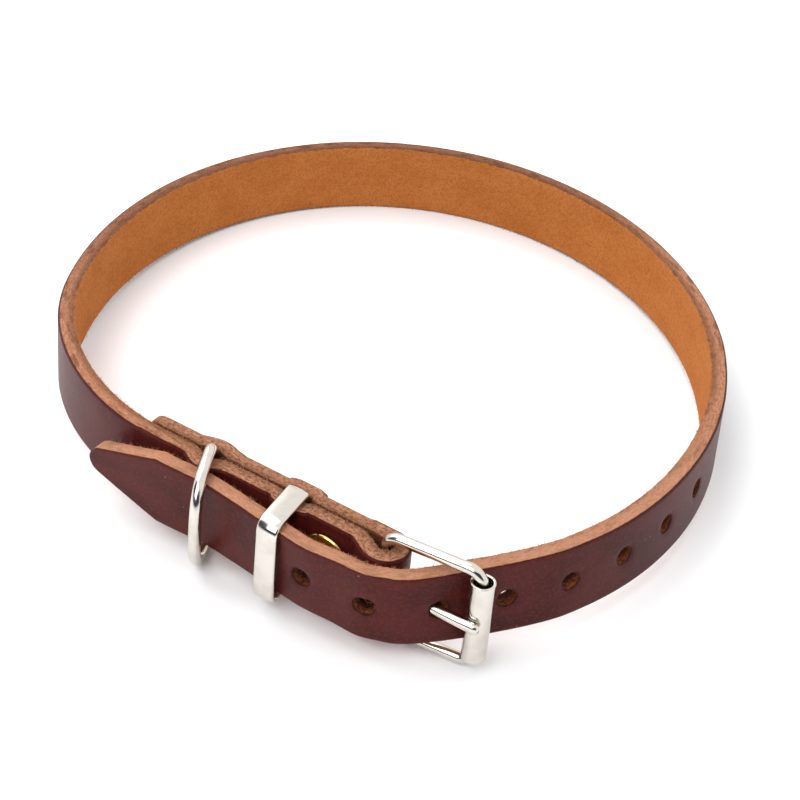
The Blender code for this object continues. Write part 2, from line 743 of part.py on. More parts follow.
def settle(root, pieces):
    # Tips the collar on to the points that carry it, and centres it over the floor
    bpy.context.view_layer.update()
    graph = bpy.context.evaluated_depsgraph_get()
    hull = bmesh.new()
    weight, moment = 0.0, np.zeros(3)
    everything = []
    for obj in pieces:
        points, faces = triangles(obj, graph)
        corners = points[faces]
        volumes = np.linalg.det(corners) / 6
        density = LEATHER_DENSITY if obj.name == "strap" else STEEL_DENSITY
        weight += density * volumes.sum()
        moment += density * (volumes[:, None] * corners.mean(axis=1) * 0.75).sum(axis=0)
        everything.append(points)
        for point in points:
            hull.verts.new(point)
    balance = Vector(moment / weight)
    result = bmesh.ops.convex_hull(hull, input=hull.verts)
    spare = [item for item in result["geom_interior"] if isinstance(item, bmesh.types.BMVert)]
    bmesh.ops.delete(hull, geom=spare, context="VERTS")
    tree = BVHTree.FromBMesh(hull)
    place, down, _, _ = tree.ray_cast(balance + Vector((0, 0, -1)), Vector((0, 0, 1)))
    hull.free()
    if down.z > 0:
        down = -down
    tip = down.rotation_difference(Vector((0, 0, -1))).to_matrix()
    points = np.vstack(everything) @ np.array(tip).T
    low, high = points.min(axis=0), points.max(axis=0)
    shift = Vector((-(low[0] + high[0]) / 2, -(low[1] + high[1]) / 2, -low[2]))
    root.matrix_world = Matrix.Translation(shift) @ tip.to_4x4()


def build():
    for obj in list(bpy.data.objects):
        bpy.data.objects.remove(obj)
    collar = bpy.data.collections.new("dog_collar")
    cutters = bpy.data.collections.new("cutters")
    strap_cuts = bpy.data.collections.new("strap_cutters")
    bpy.context.scene.collection.children.link(collar)
    bpy.context.scene.collection.children.link(cutters)
    cutters.children.link(strap_cuts)
    cutters.hide_render = True

    leather = finish("leather", (0.105, 0.030, 0.032), 0.42)
    nickel = metal("nickel", (0.78, 0.76, 0.72), 0.18)
    brass = metal("brass", (0.62, 0.47, 0.16), 0.28)

    oval = oval_points()
    main = main_ply_points()
    joining = blend_points(main[-1], ALONG, oval[0], oval_heading(OVAL_START), 5)
    route = Route(turn_back_points() + fold_points() + main + joining + oval + free_end_points())
    fastened = tongue_crossing(route, HALF_THICKNESS)
    beside_roller = route.nearest(flap_point(*roller_centre()), route.length() / 2)
    length = fastened + (FASTENED_HOLE - 1) * HOLE_PITCH + TIP_TO_FIRST_HOLE

    strap_cutters(route, fastened, strap_cuts)
    pieces = [
        strap(route, length, beside_roller, collar, strap_cuts, leather),
        buckle_frame(collar, nickel),
        buckle_roller(collar, cutters, nickel),
        buckle_tongue(collar, nickel),
        d_ring(collar, nickel),
        keeper(route, beside_roller, collar, nickel),
    ]
    for number, station in enumerate(RIVET_STATIONS, start=1):
        pieces.append(rivet(number, station, collar, brass))
    for cutter in cutters.all_objects:
        cutter.hide_render = True
        cutter.display_type = "WIRE"
    shade_round(pieces)

    root = bpy.data.objects.new("collar_rest", None)
    collar.objects.link(root)
    for obj in pieces + list(cutters.all_objects):
        obj.parent = root
    settle(root, pieces)


build()
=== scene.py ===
import json
import math
import random

import bmesh
import bpy
import numpy as np
from mathutils import Matrix, Vector, noise


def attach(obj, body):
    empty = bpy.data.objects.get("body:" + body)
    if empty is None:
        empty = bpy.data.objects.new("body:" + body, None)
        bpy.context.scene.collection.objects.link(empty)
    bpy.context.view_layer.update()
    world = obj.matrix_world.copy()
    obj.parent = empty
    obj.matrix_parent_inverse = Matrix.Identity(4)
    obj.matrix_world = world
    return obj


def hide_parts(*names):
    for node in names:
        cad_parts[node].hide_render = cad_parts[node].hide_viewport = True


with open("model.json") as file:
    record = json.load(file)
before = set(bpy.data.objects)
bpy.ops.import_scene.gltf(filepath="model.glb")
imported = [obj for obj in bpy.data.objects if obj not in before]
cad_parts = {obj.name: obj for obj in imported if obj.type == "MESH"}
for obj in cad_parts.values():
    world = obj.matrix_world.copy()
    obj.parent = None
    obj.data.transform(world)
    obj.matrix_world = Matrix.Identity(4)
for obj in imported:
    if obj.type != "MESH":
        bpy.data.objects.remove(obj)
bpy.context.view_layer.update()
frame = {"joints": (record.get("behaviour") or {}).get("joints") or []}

mm = 0.001
wireSides = 28

# sizes in metres, as the source has them; skew and shownCap are this script's own
strapSizes = {
    "width": 16.0 * mm,
    "thickness": 3.5 * mm,
    "neckWidth": 133.2 * mm,
    "neckDepth": 145.2 * mm,
    "turnBack": 57.5 * mm,
    "turnBackCorner": 3.0 * mm,
    "straight": 53.0 * mm,
    "point": 16.5 * mm,
    "nose": 3.2 * mm,
    "hole": 4.0 * mm,
    "holePitch": 13.3 * mm,
    "holeCount": 8,
    "fastened": 3,
    "tipToHole": 53.0 * mm,
    "pinch": 0.35 * mm,
    "plyGap": 0.3 * mm,
    "clearance": 0.3 * mm,
    "slotReach": 5.0 * mm,
}
buckleSizes = {
    "wire": 2.3 * mm,
    "innerWidth": 20.0 * mm,
    "reach": 20.0 * mm,
    "corner": 3.0 * mm,
    "drop": 0.7 * mm,
    "yaw": math.radians(6.0),
    "heelOut": 1.3 * mm,
    "roller": 4.8 * mm,
    "rollerLength": 18.7 * mm,
    "rollerWall": 0.55 * mm,
    "notch": 0.8 * mm,
    "tongueWire": 2.3 * mm,
    "tongueDrop": 0.3 * mm,
    "tongueOverhang": 1.8 * mm,
    "tongueStraight": 0.5,
    "strapAngle": math.radians(52.0),
}
ringSizes = {
    "wire": 2.4 * mm,
    "innerHeight": 19.0 * mm,
    "depth": 14.0 * mm,
    "arm": 4.5 * mm,
    "fullness": 2.8,
    "out": 0.4 * mm,
    "drop": 0.6 * mm,
    "seatReach": 4.5 * mm,
    "swing": math.radians(25.0),
}
keeperSizes = {
    "band": 4.8 * mm,
    "thickness": 1.2 * mm,
    "innerHeight": 17.6 * mm,
    "frontBend": 3.0 * mm,
    "backBend": 1.2 * mm,
    "drop": 0.1 * mm,
    "seatReach": 1.4 * mm,
    "skew": 1.5 * mm,
}
rivetSizes = {
    "cap": 9.6 * mm,
    "capHeight": 1.2 * mm,
    "rim": 0.4 * mm,
    "post": 3.0 * mm,
    "shownCap": 10.6 * mm,
    "first": 11.6 * mm,
    "toRing": 11.0 * mm,
    "ringToThird": 10.0 * mm,
}
heelShare = (0.053, -0.896)
flapAngle = math.radians(150.0)
ovalStart = math.radians(178.0)
ovalEnd = math.radians(-60.0)
wrapRows = ((147.0, 0.58), (121.0, 0.24), (97.0, 0.27))  # degrees at the heel bar, slack
liftRows = (  # share of the last rivet's place, lift over the rivet caps
    (0.10, 0.64), (0.23, 0.76), (0.40, 0.46), (0.574, 0.12),
    (0.72, -0.09), (0.86, -0.01), (1.00, 0.01), (1.30, -0.08),
)
leanRows = (  # share of the frame's reach on from the roller, lean in degrees
    (-5.00, 0.0), (-2.60, -4.0), (-0.90, -4.5), (0.00, -3.5), (0.50, -1.0),
    (0.90, 1.5), (1.60, 5.0), (2.30, 4.5), (3.20, 3.0), (4.20, 2.0),
)

midHeight = strapSizes["width"] / 2
halfThick = strapSizes["thickness"] / 2
clearance = strapSizes["clearance"]
capToKeeper = rivetSizes["cap"] / 2 + 2 * clearance + keeperSizes["seatReach"] + keeperSizes["band"] / 2
keeperPlace = rivetSizes["first"] + capToKeeper
secondRivet = keeperPlace + capToKeeper
ringPlace = secondRivet + rivetSizes["toRing"]
rivetPlaces = (rivetSizes["first"], secondRivet, ringPlace + rivetSizes["ringToThird"])
foldReach = rivetSizes["first"] - rivetSizes["cap"] / 2 - clearance
foldRadius = buckleSizes["wire"] / 2 + clearance + halfThick
plyOffset = strapSizes["plyGap"] / 2 + halfThick
rivetFace = strapSizes["plyGap"] / 2 + strapSizes["thickness"] - strapSizes["pinch"] + clearance
ovalHalf = (strapSizes["neckWidth"] / 2 + halfThick, strapSizes["neckDepth"] / 2 + halfThick)
alongAxis = np.array([math.cos(flapAngle), math.sin(flapAngle)])
outAxis = np.array([-alongAxis[1], alongAxis[0]])
heel = np.array([heelShare[0] * ovalHalf[0], heelShare[1] * ovalHalf[1]])


# the strap's route in plan
def flapPoint(along, out):
    return heel + along * alongAxis + out * outAxis


def rise(distance, reach):
    share = min(abs(distance) / reach, 1.0)
    return 0.5 * (1.0 + math.cos(math.pi * share))


def seat(along, middle, halfWidth, reach):
    return rise(max(abs(along - middle) - halfWidth, 0.0), reach)


def plyLift(along, side):
    ring = ringSizes["wire"] / 2 + side * ringSizes["out"] + clearance - strapSizes["plyGap"] / 2
    keeper = keeperSizes["thickness"] / 2 + clearance - strapSizes["plyGap"] / 2
    ring *= seat(along, ringPlace, 0.0, ringSizes["seatReach"])
    keeper *= seat(along, keeperPlace, keeperSizes["band"] / 2 + clearance, keeperSizes["seatReach"])
    return ring + keeper


def ovalPoint(angle):
    return np.array([ovalHalf[0] * math.cos(angle), ovalHalf[1] * math.sin(angle)])


def blendPoints(start, startHeading, end, endHeading, count):
    chord = np.linalg.norm(end - start)
    points = []
    for share in np.linspace(0.0, 1.0, count + 2)[1:-1]:
        square, cube = share * share, share ** 3
        points.append(
            (2 * cube - 3 * square + 1) * start
            + (cube - 2 * square + share) * chord * startHeading
            + (3 * square - 2 * cube) * end
            + (cube - square) * chord * endHeading
        )
    return points


def leanSlope(distance, rollerDistance):
    shares, leans = zip(*leanRows)
    return np.tan(np.radians(np.interp((distance - rollerDistance) / buckleSizes["reach"], shares, leans)))


def rollerCentre():
    reach, yaw = buckleSizes["reach"], buckleSizes["yaw"]
    return -reach * math.cos(yaw), buckleSizes["heelOut"] - reach * math.sin(yaw)


routeSteps = {"ply": 0.6 * mm, "foldDegrees": 15, "blend": 5, "oval": 40, "spline": 8}


def routePoints():
    points = []
    back = strapSizes["turnBack"]
    for along in np.linspace(back, 0.0, round(back / routeSteps["ply"]) + 1)[:-1]:
        points.append(flapPoint(along, -plyOffset - plyLift(along, -1)))
    for degrees in range(-90, -271, -routeSteps["foldDegrees"]):
        angle = math.radians(degrees)
        out = buckleSizes["heelOut"] + foldRadius * math.sin(angle)
        points.append(flapPoint(foldRadius * math.cos(angle), out))
    foldTop = buckleSizes["heelOut"] + foldRadius - plyOffset
    straight = strapSizes["straight"]
    for along in np.linspace(0.0, straight, round(straight / routeSteps["ply"]) + 1)[1:]:
        lift = plyLift(along, 1) + foldTop * rise(along, foldReach)
        points.append(flapPoint(along, plyOffset + lift))
    start = ovalPoint(ovalStart)
    heading = np.array([ovalHalf[0] * math.sin(ovalStart), -ovalHalf[1] * math.cos(ovalStart)])
    heading /= np.linalg.norm(heading)
    points += blendPoints(points[-1], alongAxis, start, heading, routeSteps["blend"])
    points += [ovalPoint(angle) for angle in np.linspace(ovalStart, ovalEnd, routeSteps["oval"])]
    along, out = rollerCentre()
    room = clearance + midHeight * abs(leanSlope(0.0, 0.0))
    standOff = buckleSizes["roller"] / 2 + room + halfThick
    angle = buckleSizes["strapAngle"]
    points.append(flapPoint(along + standOff * math.sin(angle), out - standOff * math.cos(angle)))
    for degrees, slack in wrapRows:
        angle = math.radians(degrees)
        radius = foldRadius + (1 + slack) * strapSizes["thickness"]
        out = buckleSizes["heelOut"] + radius * math.sin(angle)
        points.append(flapPoint(radius * math.cos(angle), out))
    overCaps = rivetFace + rivetSizes["capHeight"] + clearance + halfThick
    for share, lift in liftRows:
        points.append(flapPoint(share * rivetPlaces[-1], overCaps + lift * strapSizes["thickness"]))
    points.append(2 * points[-1] - points[-2])
    return np.array(points)


def smoothLine(points):
    # a centripetal spline through all the points
    padded = np.vstack([2 * points[0] - points[1], points, 2 * points[-1] - points[-2]])
    line = []
    for group in zip(padded, padded[1:], padded[2:], padded[3:]):
        knots = [0.0]
        for before, after in zip(group, group[1:]):
            knots.append(knots[-1] + math.sqrt(np.linalg.norm(after - before)))
        for knot in np.linspace(knots[1], knots[2], routeSteps["spline"], endpoint=False):
            level = list(group)
            for width in (1, 2):
                level = [
                    ((knots[i + width] - knot) * level[i] + (knot - knots[i]) * level[i + 1])
                    / (knots[i + width] - knots[i])
                    for i in range(len(level) - 1)
                ]
            span = knots[2] - knots[1]
            line.append(((knots[2] - knot) * level[0] + (knot - knots[1]) * level[1]) / span)
    line.append(points[-1])
    return np.array(line)


def distanceAlong(points):
    steps = np.linalg.norm(np.diff(points, axis=0), axis=1)
    return np.concatenate([[0.0], np.cumsum(steps)])


def sampled(values, known, distance):
    return np.stack([np.interp(distance, known, values[:, i]) for i in range(2)], axis=-1)


class Route:
    def __init__(self, points):
        self.line = smoothLine(points)
        self.distance = distanceAlong(self.line)
        headings = np.gradient(self.line, self.distance, axis=0)
        self.headings = headings / np.linalg.norm(headings, axis=1)[:, None]
        self.length = self.distance[-1]

    def point(self, distance):
        return sampled(self.line, self.distance, distance)

    def heading(self, distance):
        value = sampled(self.headings, self.distance, distance)
        return value / np.linalg.norm(value, axis=-1, keepdims=True)

    def normal(self, distance):
        heading = self.heading(distance)
        return np.stack([-heading[..., 1], heading[..., 0]], axis=-1)

    def nearest(self, point, start=0.0):
        gaps = np.linalg.norm(self.line - point, axis=1)
        gaps[self.distance < start] = np.inf
        return float(self.distance[np.argmin(gaps)])


route = Route(routePoints())


def tongueRest():
    along, out = rollerCentre()
    standOff = (buckleSizes["roller"] + buckleSizes["tongueWire"]) / 2 + clearance - buckleSizes["notch"]
    return along, out + standOff


def tongueCrossing(depth):
    level = tongueRest()[1]
    distances = np.arange(route.length / 2, route.length, 0.15 * mm)
    offsets = route.point(distances) + depth * route.normal(distances) - heel
    inside = (offsets @ outAxis > level) & (np.abs(offsets @ alongAxis) < buckleSizes["reach"])
    return float(distances[np.argmax(inside)])


fastenedPlace = tongueCrossing(halfThick)
rollerPlace = route.nearest(flapPoint(*rollerCentre()), route.length / 2)
strapLength = fastenedPlace + (strapSizes["fastened"] - 1) * strapSizes["holePitch"] + strapSizes["tipToHole"]
rivetDistances = [route.nearest(flapPoint(along, -plyOffset)) for along in rivetPlaces]
rivetDistances += [
    route.nearest(flapPoint(along, plyOffset), strapSizes["turnBack"]) for along in rivetPlaces
]


# from the collar's own plan to where it rests
swingJoint = frame["joints"][0]
upAxis = -Vector(swingJoint["axis"])
tip = Vector((0, 0, 1)).rotation_difference(upAxis).to_matrix()
ringLocal = Vector((*flapPoint(ringPlace, ringSizes["out"]), midHeight - ringSizes["drop"]))
rest = Matrix.Translation(Vector(swingJoint["pos_m"]) - tip @ ringLocal) @ tip.to_4x4()


def moved(points, matrix):
    array = np.array(matrix)
    return np.array(points) @ array[:3, :3].T + array[:3, 3]


def flapMatrix(along, out, height, turn=0.0):
    spot = Matrix.Translation((*flapPoint(along, out), height))
    return rest @ spot @ Matrix.Rotation(flapAngle + turn, 4, "Z")


def addObject(name, data):
    made = bpy.data.objects.new(name, data)
    bpy.context.scene.collection.objects.link(made)
    return made


def addPiece(name, points, faces, body, material):
    mesh = bpy.data.meshes.new(name)
    mesh.from_pydata([tuple(p) for p in points], [], [tuple(f) for f in faces])
    mesh.materials.append(material)
    mesh.shade_smooth()
    mesh.validate()
    piece = addObject(name, mesh)
    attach(piece, body)
    return piece


def fixNormals(piece, sharp):
    # delete loose points, turn the faces outwards and keep the edges sharper than this angle
    bm = bmesh.new()
    bm.from_mesh(piece.data)
    bmesh.ops.delete(bm, geom=[v for v in bm.verts if not v.link_faces], context="VERTS")
    bmesh.ops.recalc_face_normals(bm, faces=bm.faces)
    bm.to_mesh(piece.data)
    bm.free()
    piece.data.shade_smooth()
    piece.data.set_sharp_from_angle(angle=math.radians(sharp))


def wobble(points, size, seed):
    # smooth noise from -1 to 1, one number a point
    shift = Vector((seed, seed * 1.7, seed * 0.3))
    return np.array([noise.noise(Vector(p) / size + shift) for p in points])


def rounded(across, depth, radius, degrees):
    # points of a corner's arc round its centre
    angles = [math.radians(d) for d in degrees]
    return [(across + radius * math.cos(a), depth + radius * math.sin(a)) for a in angles]


def joinSections(count, width, closed):
    # quads between neighbouring sections of the same number of points, and the two ends
    faces = []
    for i in range(count if closed else count - 1):
        m = (i + 1) % count
        for k in range(width):
            n = (k + 1) % width
            faces.append((i * width + k, i * width + n, m * width + n, m * width + k))
    if not closed:
        faces.append(tuple(range(width))[::-1])
        faces.append(tuple(range((count - 1) * width, count * width)))
    return faces


def tube(path, radii, up, closed=True, flat=None):
    # a wire swept along a path; flat is a list of (along the normal, along the side) scales
    path = np.array(path, float)
    count = len(path)
    ahead = np.roll(path, -1, axis=0)
    behind = np.roll(path, 1, axis=0)
    if not closed:
        ahead[-1], behind[0] = path[-1], path[0]
    tangents = ahead - behind
    tangents /= np.linalg.norm(tangents, axis=1)[:, None]
    points = []
    angles = np.linspace(0, 2 * math.pi, wireSides, endpoint=False)
    for i in range(count):
        first = np.cross(up, tangents[i])
        first /= np.linalg.norm(first)
        second = np.cross(tangents[i], first)
        radius = radii[i] if np.ndim(radii) else radii
        scale = flat[i] if flat is not None else (1.0, 1.0)
        for angle in angles:
            offset = first * math.cos(angle) * scale[0] + second * math.sin(angle) * scale[1]
            points.append(path[i] + radius * offset)
    return points, joinSections(count, wireSides, closed)


def arcPoints(centre, radius, start, end, steps):
    return rounded(*centre, radius, np.linspace(start, end, steps + 1))


class Socket:
    # one output, so that shader maths reads as plain maths
    def __init__(self, finish, output):
        self.finish, self.output = finish, output

    def maths(self, operation, first, second):
        return self.finish.node("ShaderNodeMath", {"operation": operation}, {0: first, 1: second})

    def __add__(self, other):
        return self.maths("ADD", self, other)

    def __sub__(self, other):
        return self.maths("SUBTRACT", self, other)

    def __rsub__(self, other):
        return self.maths("SUBTRACT", other, self)

    def __mul__(self, other):
        return self.maths("MULTIPLY", self, other)

    __radd__ = __add__
    __rmul__ = __mul__


class Finish:
    # one material, or the world: its nodes and its shader
    def __init__(self, owner, **values):
        if isinstance(owner, str):
            owner = bpy.data.materials.new(owner)
        self.material = owner
        owner.use_nodes = True
        self.tree = owner.node_tree
        self.shader = self.tree.nodes.get("Principled BSDF") or self.tree.nodes["Background"]
        self.feed(self.shader, values)

    def feed(self, node, sockets):
        for key, value in sockets.items():
            socket = node.inputs[key]
            if isinstance(value, Socket):
                self.tree.links.new(value.output, socket)
            elif isinstance(value, tuple) and len(value) == 3 and socket.type == "RGBA":
                socket.default_value = (*value, 1.0)
            else:
                socket.default_value = value

    def node(self, kind, settings=None, sockets=None, output=0):
        node = self.tree.nodes.new(kind)
        for key, value in (settings or {}).items():
            setattr(node, key, value)
        self.feed(node, sockets or {})
        return Socket(self, node.outputs[output])

    def noise(self, vector, scale, detail=3.0, roughness=0.55):
        sockets = {"Vector": vector, "Scale": scale, "Detail": detail, "Roughness": roughness}
        return self.node("ShaderNodeTexNoise", {}, sockets)

    def cells(self, vector, scale):
        # the distance to the nearest of many scattered points
        return self.node("ShaderNodeTexVoronoi", {"feature": "F1"}, {"Vector": vector, "Scale": scale})

    def mix(self, factor, first, second):
        return self.node("ShaderNodeMix", {"data_type": "RGBA"}, {0: factor, 6: first, 7: second}, 2)

    def span(self, value, low, high):
        # a clamped, smooth step from 0 at low to 1 at high
        settings = {"interpolation_type": "SMOOTHSTEP"}
        return self.node("ShaderNodeMapRange", settings, {"Value": value, 1: low, 2: high})

    def place(self):
        # the point on the piece, in metres
        return self.node("ShaderNodeTexCoord", output=3)

    def stretch(self, vector, scale):
        return self.node("ShaderNodeVectorMath", {"operation": "MULTIPLY"}, {0: vector, 1: scale})

    def bump(self, height, distance, strength):
        sockets = {"Height": height, "Distance": distance, "Strength": strength}
        return self.node("ShaderNodeBump", {}, sockets)

    def out(self, **sockets):
        named = {key.replace("_", " "): value for key, value in sockets.items()}
        self.feed(self.shader, named)
        return self.material


leatherLook = {
    "grain": (0.068, 0.0092, 0.0078),
    "grainDark": (0.042, 0.0052, 0.0048),
    "grainWarm": (0.112, 0.0195, 0.0145),
    "dyeLine": (0.030, 0.0070, 0.0060),
    "edge": (0.320, 0.122, 0.060),
    "edgePale": (0.500, 0.250, 0.150),
    "edgeDark": (0.078, 0.025, 0.010),
    "wall": (0.215, 0.060, 0.020),
    "wallDark": (0.050, 0.014, 0.007),
    # painted shade deep in the holes and the slot
    "holeShade": (0.022, 0.007, 0.004),
    "flesh": (0.440, 0.139, 0.028),
    "fleshPale": (0.515, 0.184, 0.047),
    "fleshDark": (0.290, 0.074, 0.015),
    # painted shade on the flesh side between the riveted plies
    "fleshShadeBetweenPlies": (0.120, 0.040, 0.017),
    "dust": (0.42, 0.27, 0.20),
    "folded": (122.0, 112.0),  # the riveted plies, in millimetres along the strap
    "loop": (415.0, 405.0),
    # where the cut edge at the back of the loop gets painted shade
    "farShadeFrom": (150.0, 215.0),
    "farShadeTo": (372.0, 320.0),
    "freeEnd": (415.0, 440.0),
    "coat": 0.06,
    "relief": 0.26 * mm,
}
fibreLook = {
    "dark": (0.30, 0.12, 0.055),
    "pale": (0.48, 0.25, 0.15),
    "edgeCount": 7000,
    "wallCount": 46,
    "length": 0.42 * mm,
    "width": 0.045 * mm,
    "seed": 5,
}
nickelLook = {
    "colour": (0.665, 0.62, 0.565),
    "worn": (0.58, 0.54, 0.485),
    "roughness": 0.085,
    "streak": (300.0, 300.0, 4000.0),
}
brassLook = {
    "colour": (0.60, 0.43, 0.15),
    "worn": (0.44, 0.30, 0.09),
    "roughness": 0.17,
    "streak": (900.0, 900.0, 900.0),
}


def leatherFinish():
    look = leatherLook
    finish = Finish("strapLeather", **{"Specular IOR Level": 0.11, "Coat Roughness": 0.36, "Coat IOR": 1.4})
    lie = finish.node("ShaderNodeAttribute", {"attribute_name": "lie"}, {}, 1)
    # along, across and through the flat leather, in millimetres
    along, across, depth = [finish.node("ShaderNodeSeparateXYZ", {}, {0: lie}, i) for i in range(3)]

    # the smooth dyed grain side
    cloud = finish.noise(finish.stretch(lie, (0.05, 0.10, 0.10)), 1.0, 3.0, 0.6)
    fine = finish.noise(lie, 1.6, 4.0, 0.6)
    grain = finish.mix(finish.span(cloud, 0.38, 0.66), look["grain"], look["grainDark"])
    grain = finish.mix(finish.span(fine, 0.42, 0.70) * 0.60, grain, look["grainWarm"])
    nearEdge = finish.node("ShaderNodeMath", {"operation": "ABSOLUTE"}, {0: across})
    rim = finish.span(nearEdge, 7.1, 8.0)
    grain = finish.mix(rim * 0.35, grain, look["grainWarm"])
    dust = finish.cells(lie, 0.42)
    dustSize = finish.noise(lie, 0.35, 1.0)
    specks = finish.span(dust, 0.075, 0.035) * finish.span(dustSize, 0.53, 0.60)
    grain = finish.mix(specks * 0.55, grain, look["dust"])

    # raw cut edges and hole walls: fibres that run along the strap, darker towards the flesh; painted shade
    # on the edge at the back of the loop and deep in the holes
    fibre = finish.noise(finish.stretch(lie, (0.80, 1.0, 2.3)), 1.7, 5.0, 0.70)
    clump = finish.noise(finish.stretch(lie, (0.30, 0.6, 0.9)), 0.9, 3.0, 0.6)
    edge = finish.mix(finish.span(fibre, 0.36, 0.66), look["edge"], look["edgePale"])
    band = finish.span(depth + (clump - 0.5) * 2.8, 0.1, -1.2)
    fleck = finish.span(fibre, 0.40, 0.56)
    folded = finish.span(along, *look["folded"])
    loop = finish.span(along, *look["loop"])
    brown = 0.18 + loop * 0.50 + folded * 0.10
    speckle = finish.span(finish.noise(finish.stretch(lie, (0.8, 1.0, 1.4)), 1.5, 5.0, 0.72), 0.45, 0.58)
    # painted shade: the cut edge round the back of the loop is darkened
    farSideShade = finish.span(along, *look["farShadeFrom"]) * finish.span(along, *look["farShadeTo"])
    freeEnd = finish.span(along, *look["freeEnd"])
    shades = (
        (finish.span(clump, 0.50, 0.66) * 0.55, "edgeDark"),
        (band * fleck * brown, "edgeDark"),
        (folded * 0.25, "edgePale"),
        (folded * speckle * 0.66, "edgeDark"),
        # painted shade on the back of the loop's edge
        (farSideShade * 0.50, "edgeDark"),
        (freeEnd * 0.42, "edgePale"),
    )
    for mask, shade in shades:
        edge = finish.mix(mask, edge, look[shade])
    wall = finish.mix(fleck, look["wallDark"], look["wall"])
    # painted shade: the walls of the holes and the slot darken deep inside, towards the flesh side
    wall = finish.mix(finish.span(depth, 0.9, -1.0) * 0.85, wall, look["holeShade"])
    edge = finish.mix(finish.span(nearEdge, 6.0, 4.5), edge, wall)

    # the suede flesh side
    nap = finish.noise(lie, 2.6, 6.0, 0.72)
    patch = finish.noise(finish.stretch(lie, (0.10, 0.16, 0.16)), 1.0, 4.0, 0.62)
    flesh = finish.mix(finish.span(patch, 0.36, 0.68) * 0.6, look["fleshPale"], look["flesh"])
    flesh = finish.mix(finish.span(nap, 0.44, 0.62) * 0.62, flesh, look["fleshDark"])
    # painted shade: the flesh side between the riveted plies is darkened
    flesh = finish.mix(folded, flesh, look["fleshShadeBetweenPlies"])

    # where one side ends and the next begins
    ragged = depth + (fibre - 0.5) * 0.5
    isGrain = finish.span(ragged, 1.42, 1.62)
    isFlesh = finish.span(ragged, -1.42, -1.66)
    dye = finish.span(ragged, 1.20, 1.50)
    colour = finish.mix(isFlesh, edge, flesh)
    colour = finish.mix(dye, colour, look["dyeLine"])
    colour = finish.mix(isGrain, colour, grain)

    # relief and gloss
    pores = finish.cells(lie, 2.1)
    skin = finish.noise(lie, 1.1, 5.0, 0.62)
    wrinkle = finish.noise(finish.stretch(lie, (0.55, 0.16, 0.3)), 1.0, 3.0, 0.5)
    smoothHeight = skin * 0.55 + finish.span(pores, 0.10, 0.34) * 0.25 + wrinkle * 0.5
    roughHeight = fibre + nap * 0.9 + clump * 0.6
    height = smoothHeight * isGrain * 0.24 + roughHeight * (1 - isGrain)
    normal = finish.bump(height, look["relief"], 0.9)
    gloss = isGrain * (0.50 - (fine - 0.5) * 0.30 - specks * 0.3)
    coat = isGrain * look["coat"]
    return finish.out(Base_Color=colour, Roughness=0.92 - gloss, Normal=normal, Coat_Weight=coat)


def fibreFinish():
    finish = Finish("looseFibres", **{"IOR": 1.4})
    shade = finish.noise(finish.place(), 900.0, 2.0)
    colour = finish.mix(finish.span(shade, 0.35, 0.65), fibreLook["dark"], fibreLook["pale"])
    return finish.out(Base_Color=colour, Roughness=0.9)


def metalFinish(name, look):
    # polished plate with faint polishing lines, tiny knocks and a little haze
    finish = Finish(name, Metallic=1.0)
    place = finish.place()
    haze = finish.noise(place, 260.0, 3.0)
    lines = finish.noise(finish.stretch(place, look["streak"]), 1.0, 2.0)
    ripple = finish.noise(place, 420.0, 2.0)
    height = ripple * 0.6 + lines * 0.12 + finish.span(finish.cells(place, 520.0), 0.06, 0.16) * 0.15
    tint = finish.mix(finish.span(haze, 0.4, 0.7), look["colour"], look["worn"])
    gloss = look["roughness"] + finish.span(haze, 0.42, 0.75) * 0.10 + lines * 0.05
    return finish.out(Base_Color=tint, Roughness=gloss, Normal=finish.bump(height, 0.03 * mm, 0.05))


leather = leatherFinish()
looseFibres = fibreFinish()
nickel = metalFinish("polishedNickel", nickelLook)
brass = metalFinish("polishedBrass", brassLook)
print("materials ready")


leatherMesh = {
    "cell": 0.5 * mm,
    "longCell": 0.85 * mm,
    "edgeRows": 7,
    "grainRound": 0.55 * mm,
    "fleshRound": 0.30 * mm,
    "holeCells": 4,
    "blockCells": 9,
    "slotCells": 3,
    "holeDish": 0.22 * mm,
    "edgeRough": 0.12 * mm,
    "fleshRough": 0.24 * mm,
    "lowest": 0.01 * mm,
    "sharp": 62.0,
    "seed": 11,
}
nearly = 1e-7


def halfWidthAt(distance):
    # the strap's half width, with the folded end's round corners and the blunt point
    half, corner, nose = midHeight, strapSizes["turnBackCorner"], strapSizes["nose"]
    if distance < corner:
        return half - corner + math.sqrt(max(corner ** 2 - (corner - distance) ** 2, 0.0))
    taper = (strapSizes["point"] - nose, half)
    slope = math.atan2(*taper) + math.asin(nose / math.hypot(*taper))
    left = strapLength - nose - distance  # back from the nose's centre
    if left < -nose * math.cos(slope):
        return math.sqrt(max(nose ** 2 - left ** 2, 0.0))
    return min(half, (nose + left * math.cos(slope)) / math.sin(slope))


def strapHoles():
    # each hole: its middle along the strap, half size in cells, radius,
    # and how far its grain and flesh ends are shifted along the strap
    cells, radius = leatherMesh["holeCells"], strapSizes["hole"] / 2
    holes = []
    for i in range(strapSizes["holeCount"]):
        stepsOn = strapSizes["fastened"] - 1 - i
        if stepsOn == 0:  # the tongue's hole is cut aslant
            middle = tongueCrossing(0.0)
            shift = tongueCrossing(halfThick) - middle
            holes.append((middle, cells, radius, shift, tongueCrossing(-halfThick) - middle))
        else:
            holes.append((fastenedPlace + stepsOn * strapSizes["holePitch"], cells, radius, 0.0, 0.0))
    post = rivetSizes["post"] / 2 + clearance
    return holes + [(middle, cells - 1, post, 0.0, 0.0) for middle in rivetDistances]


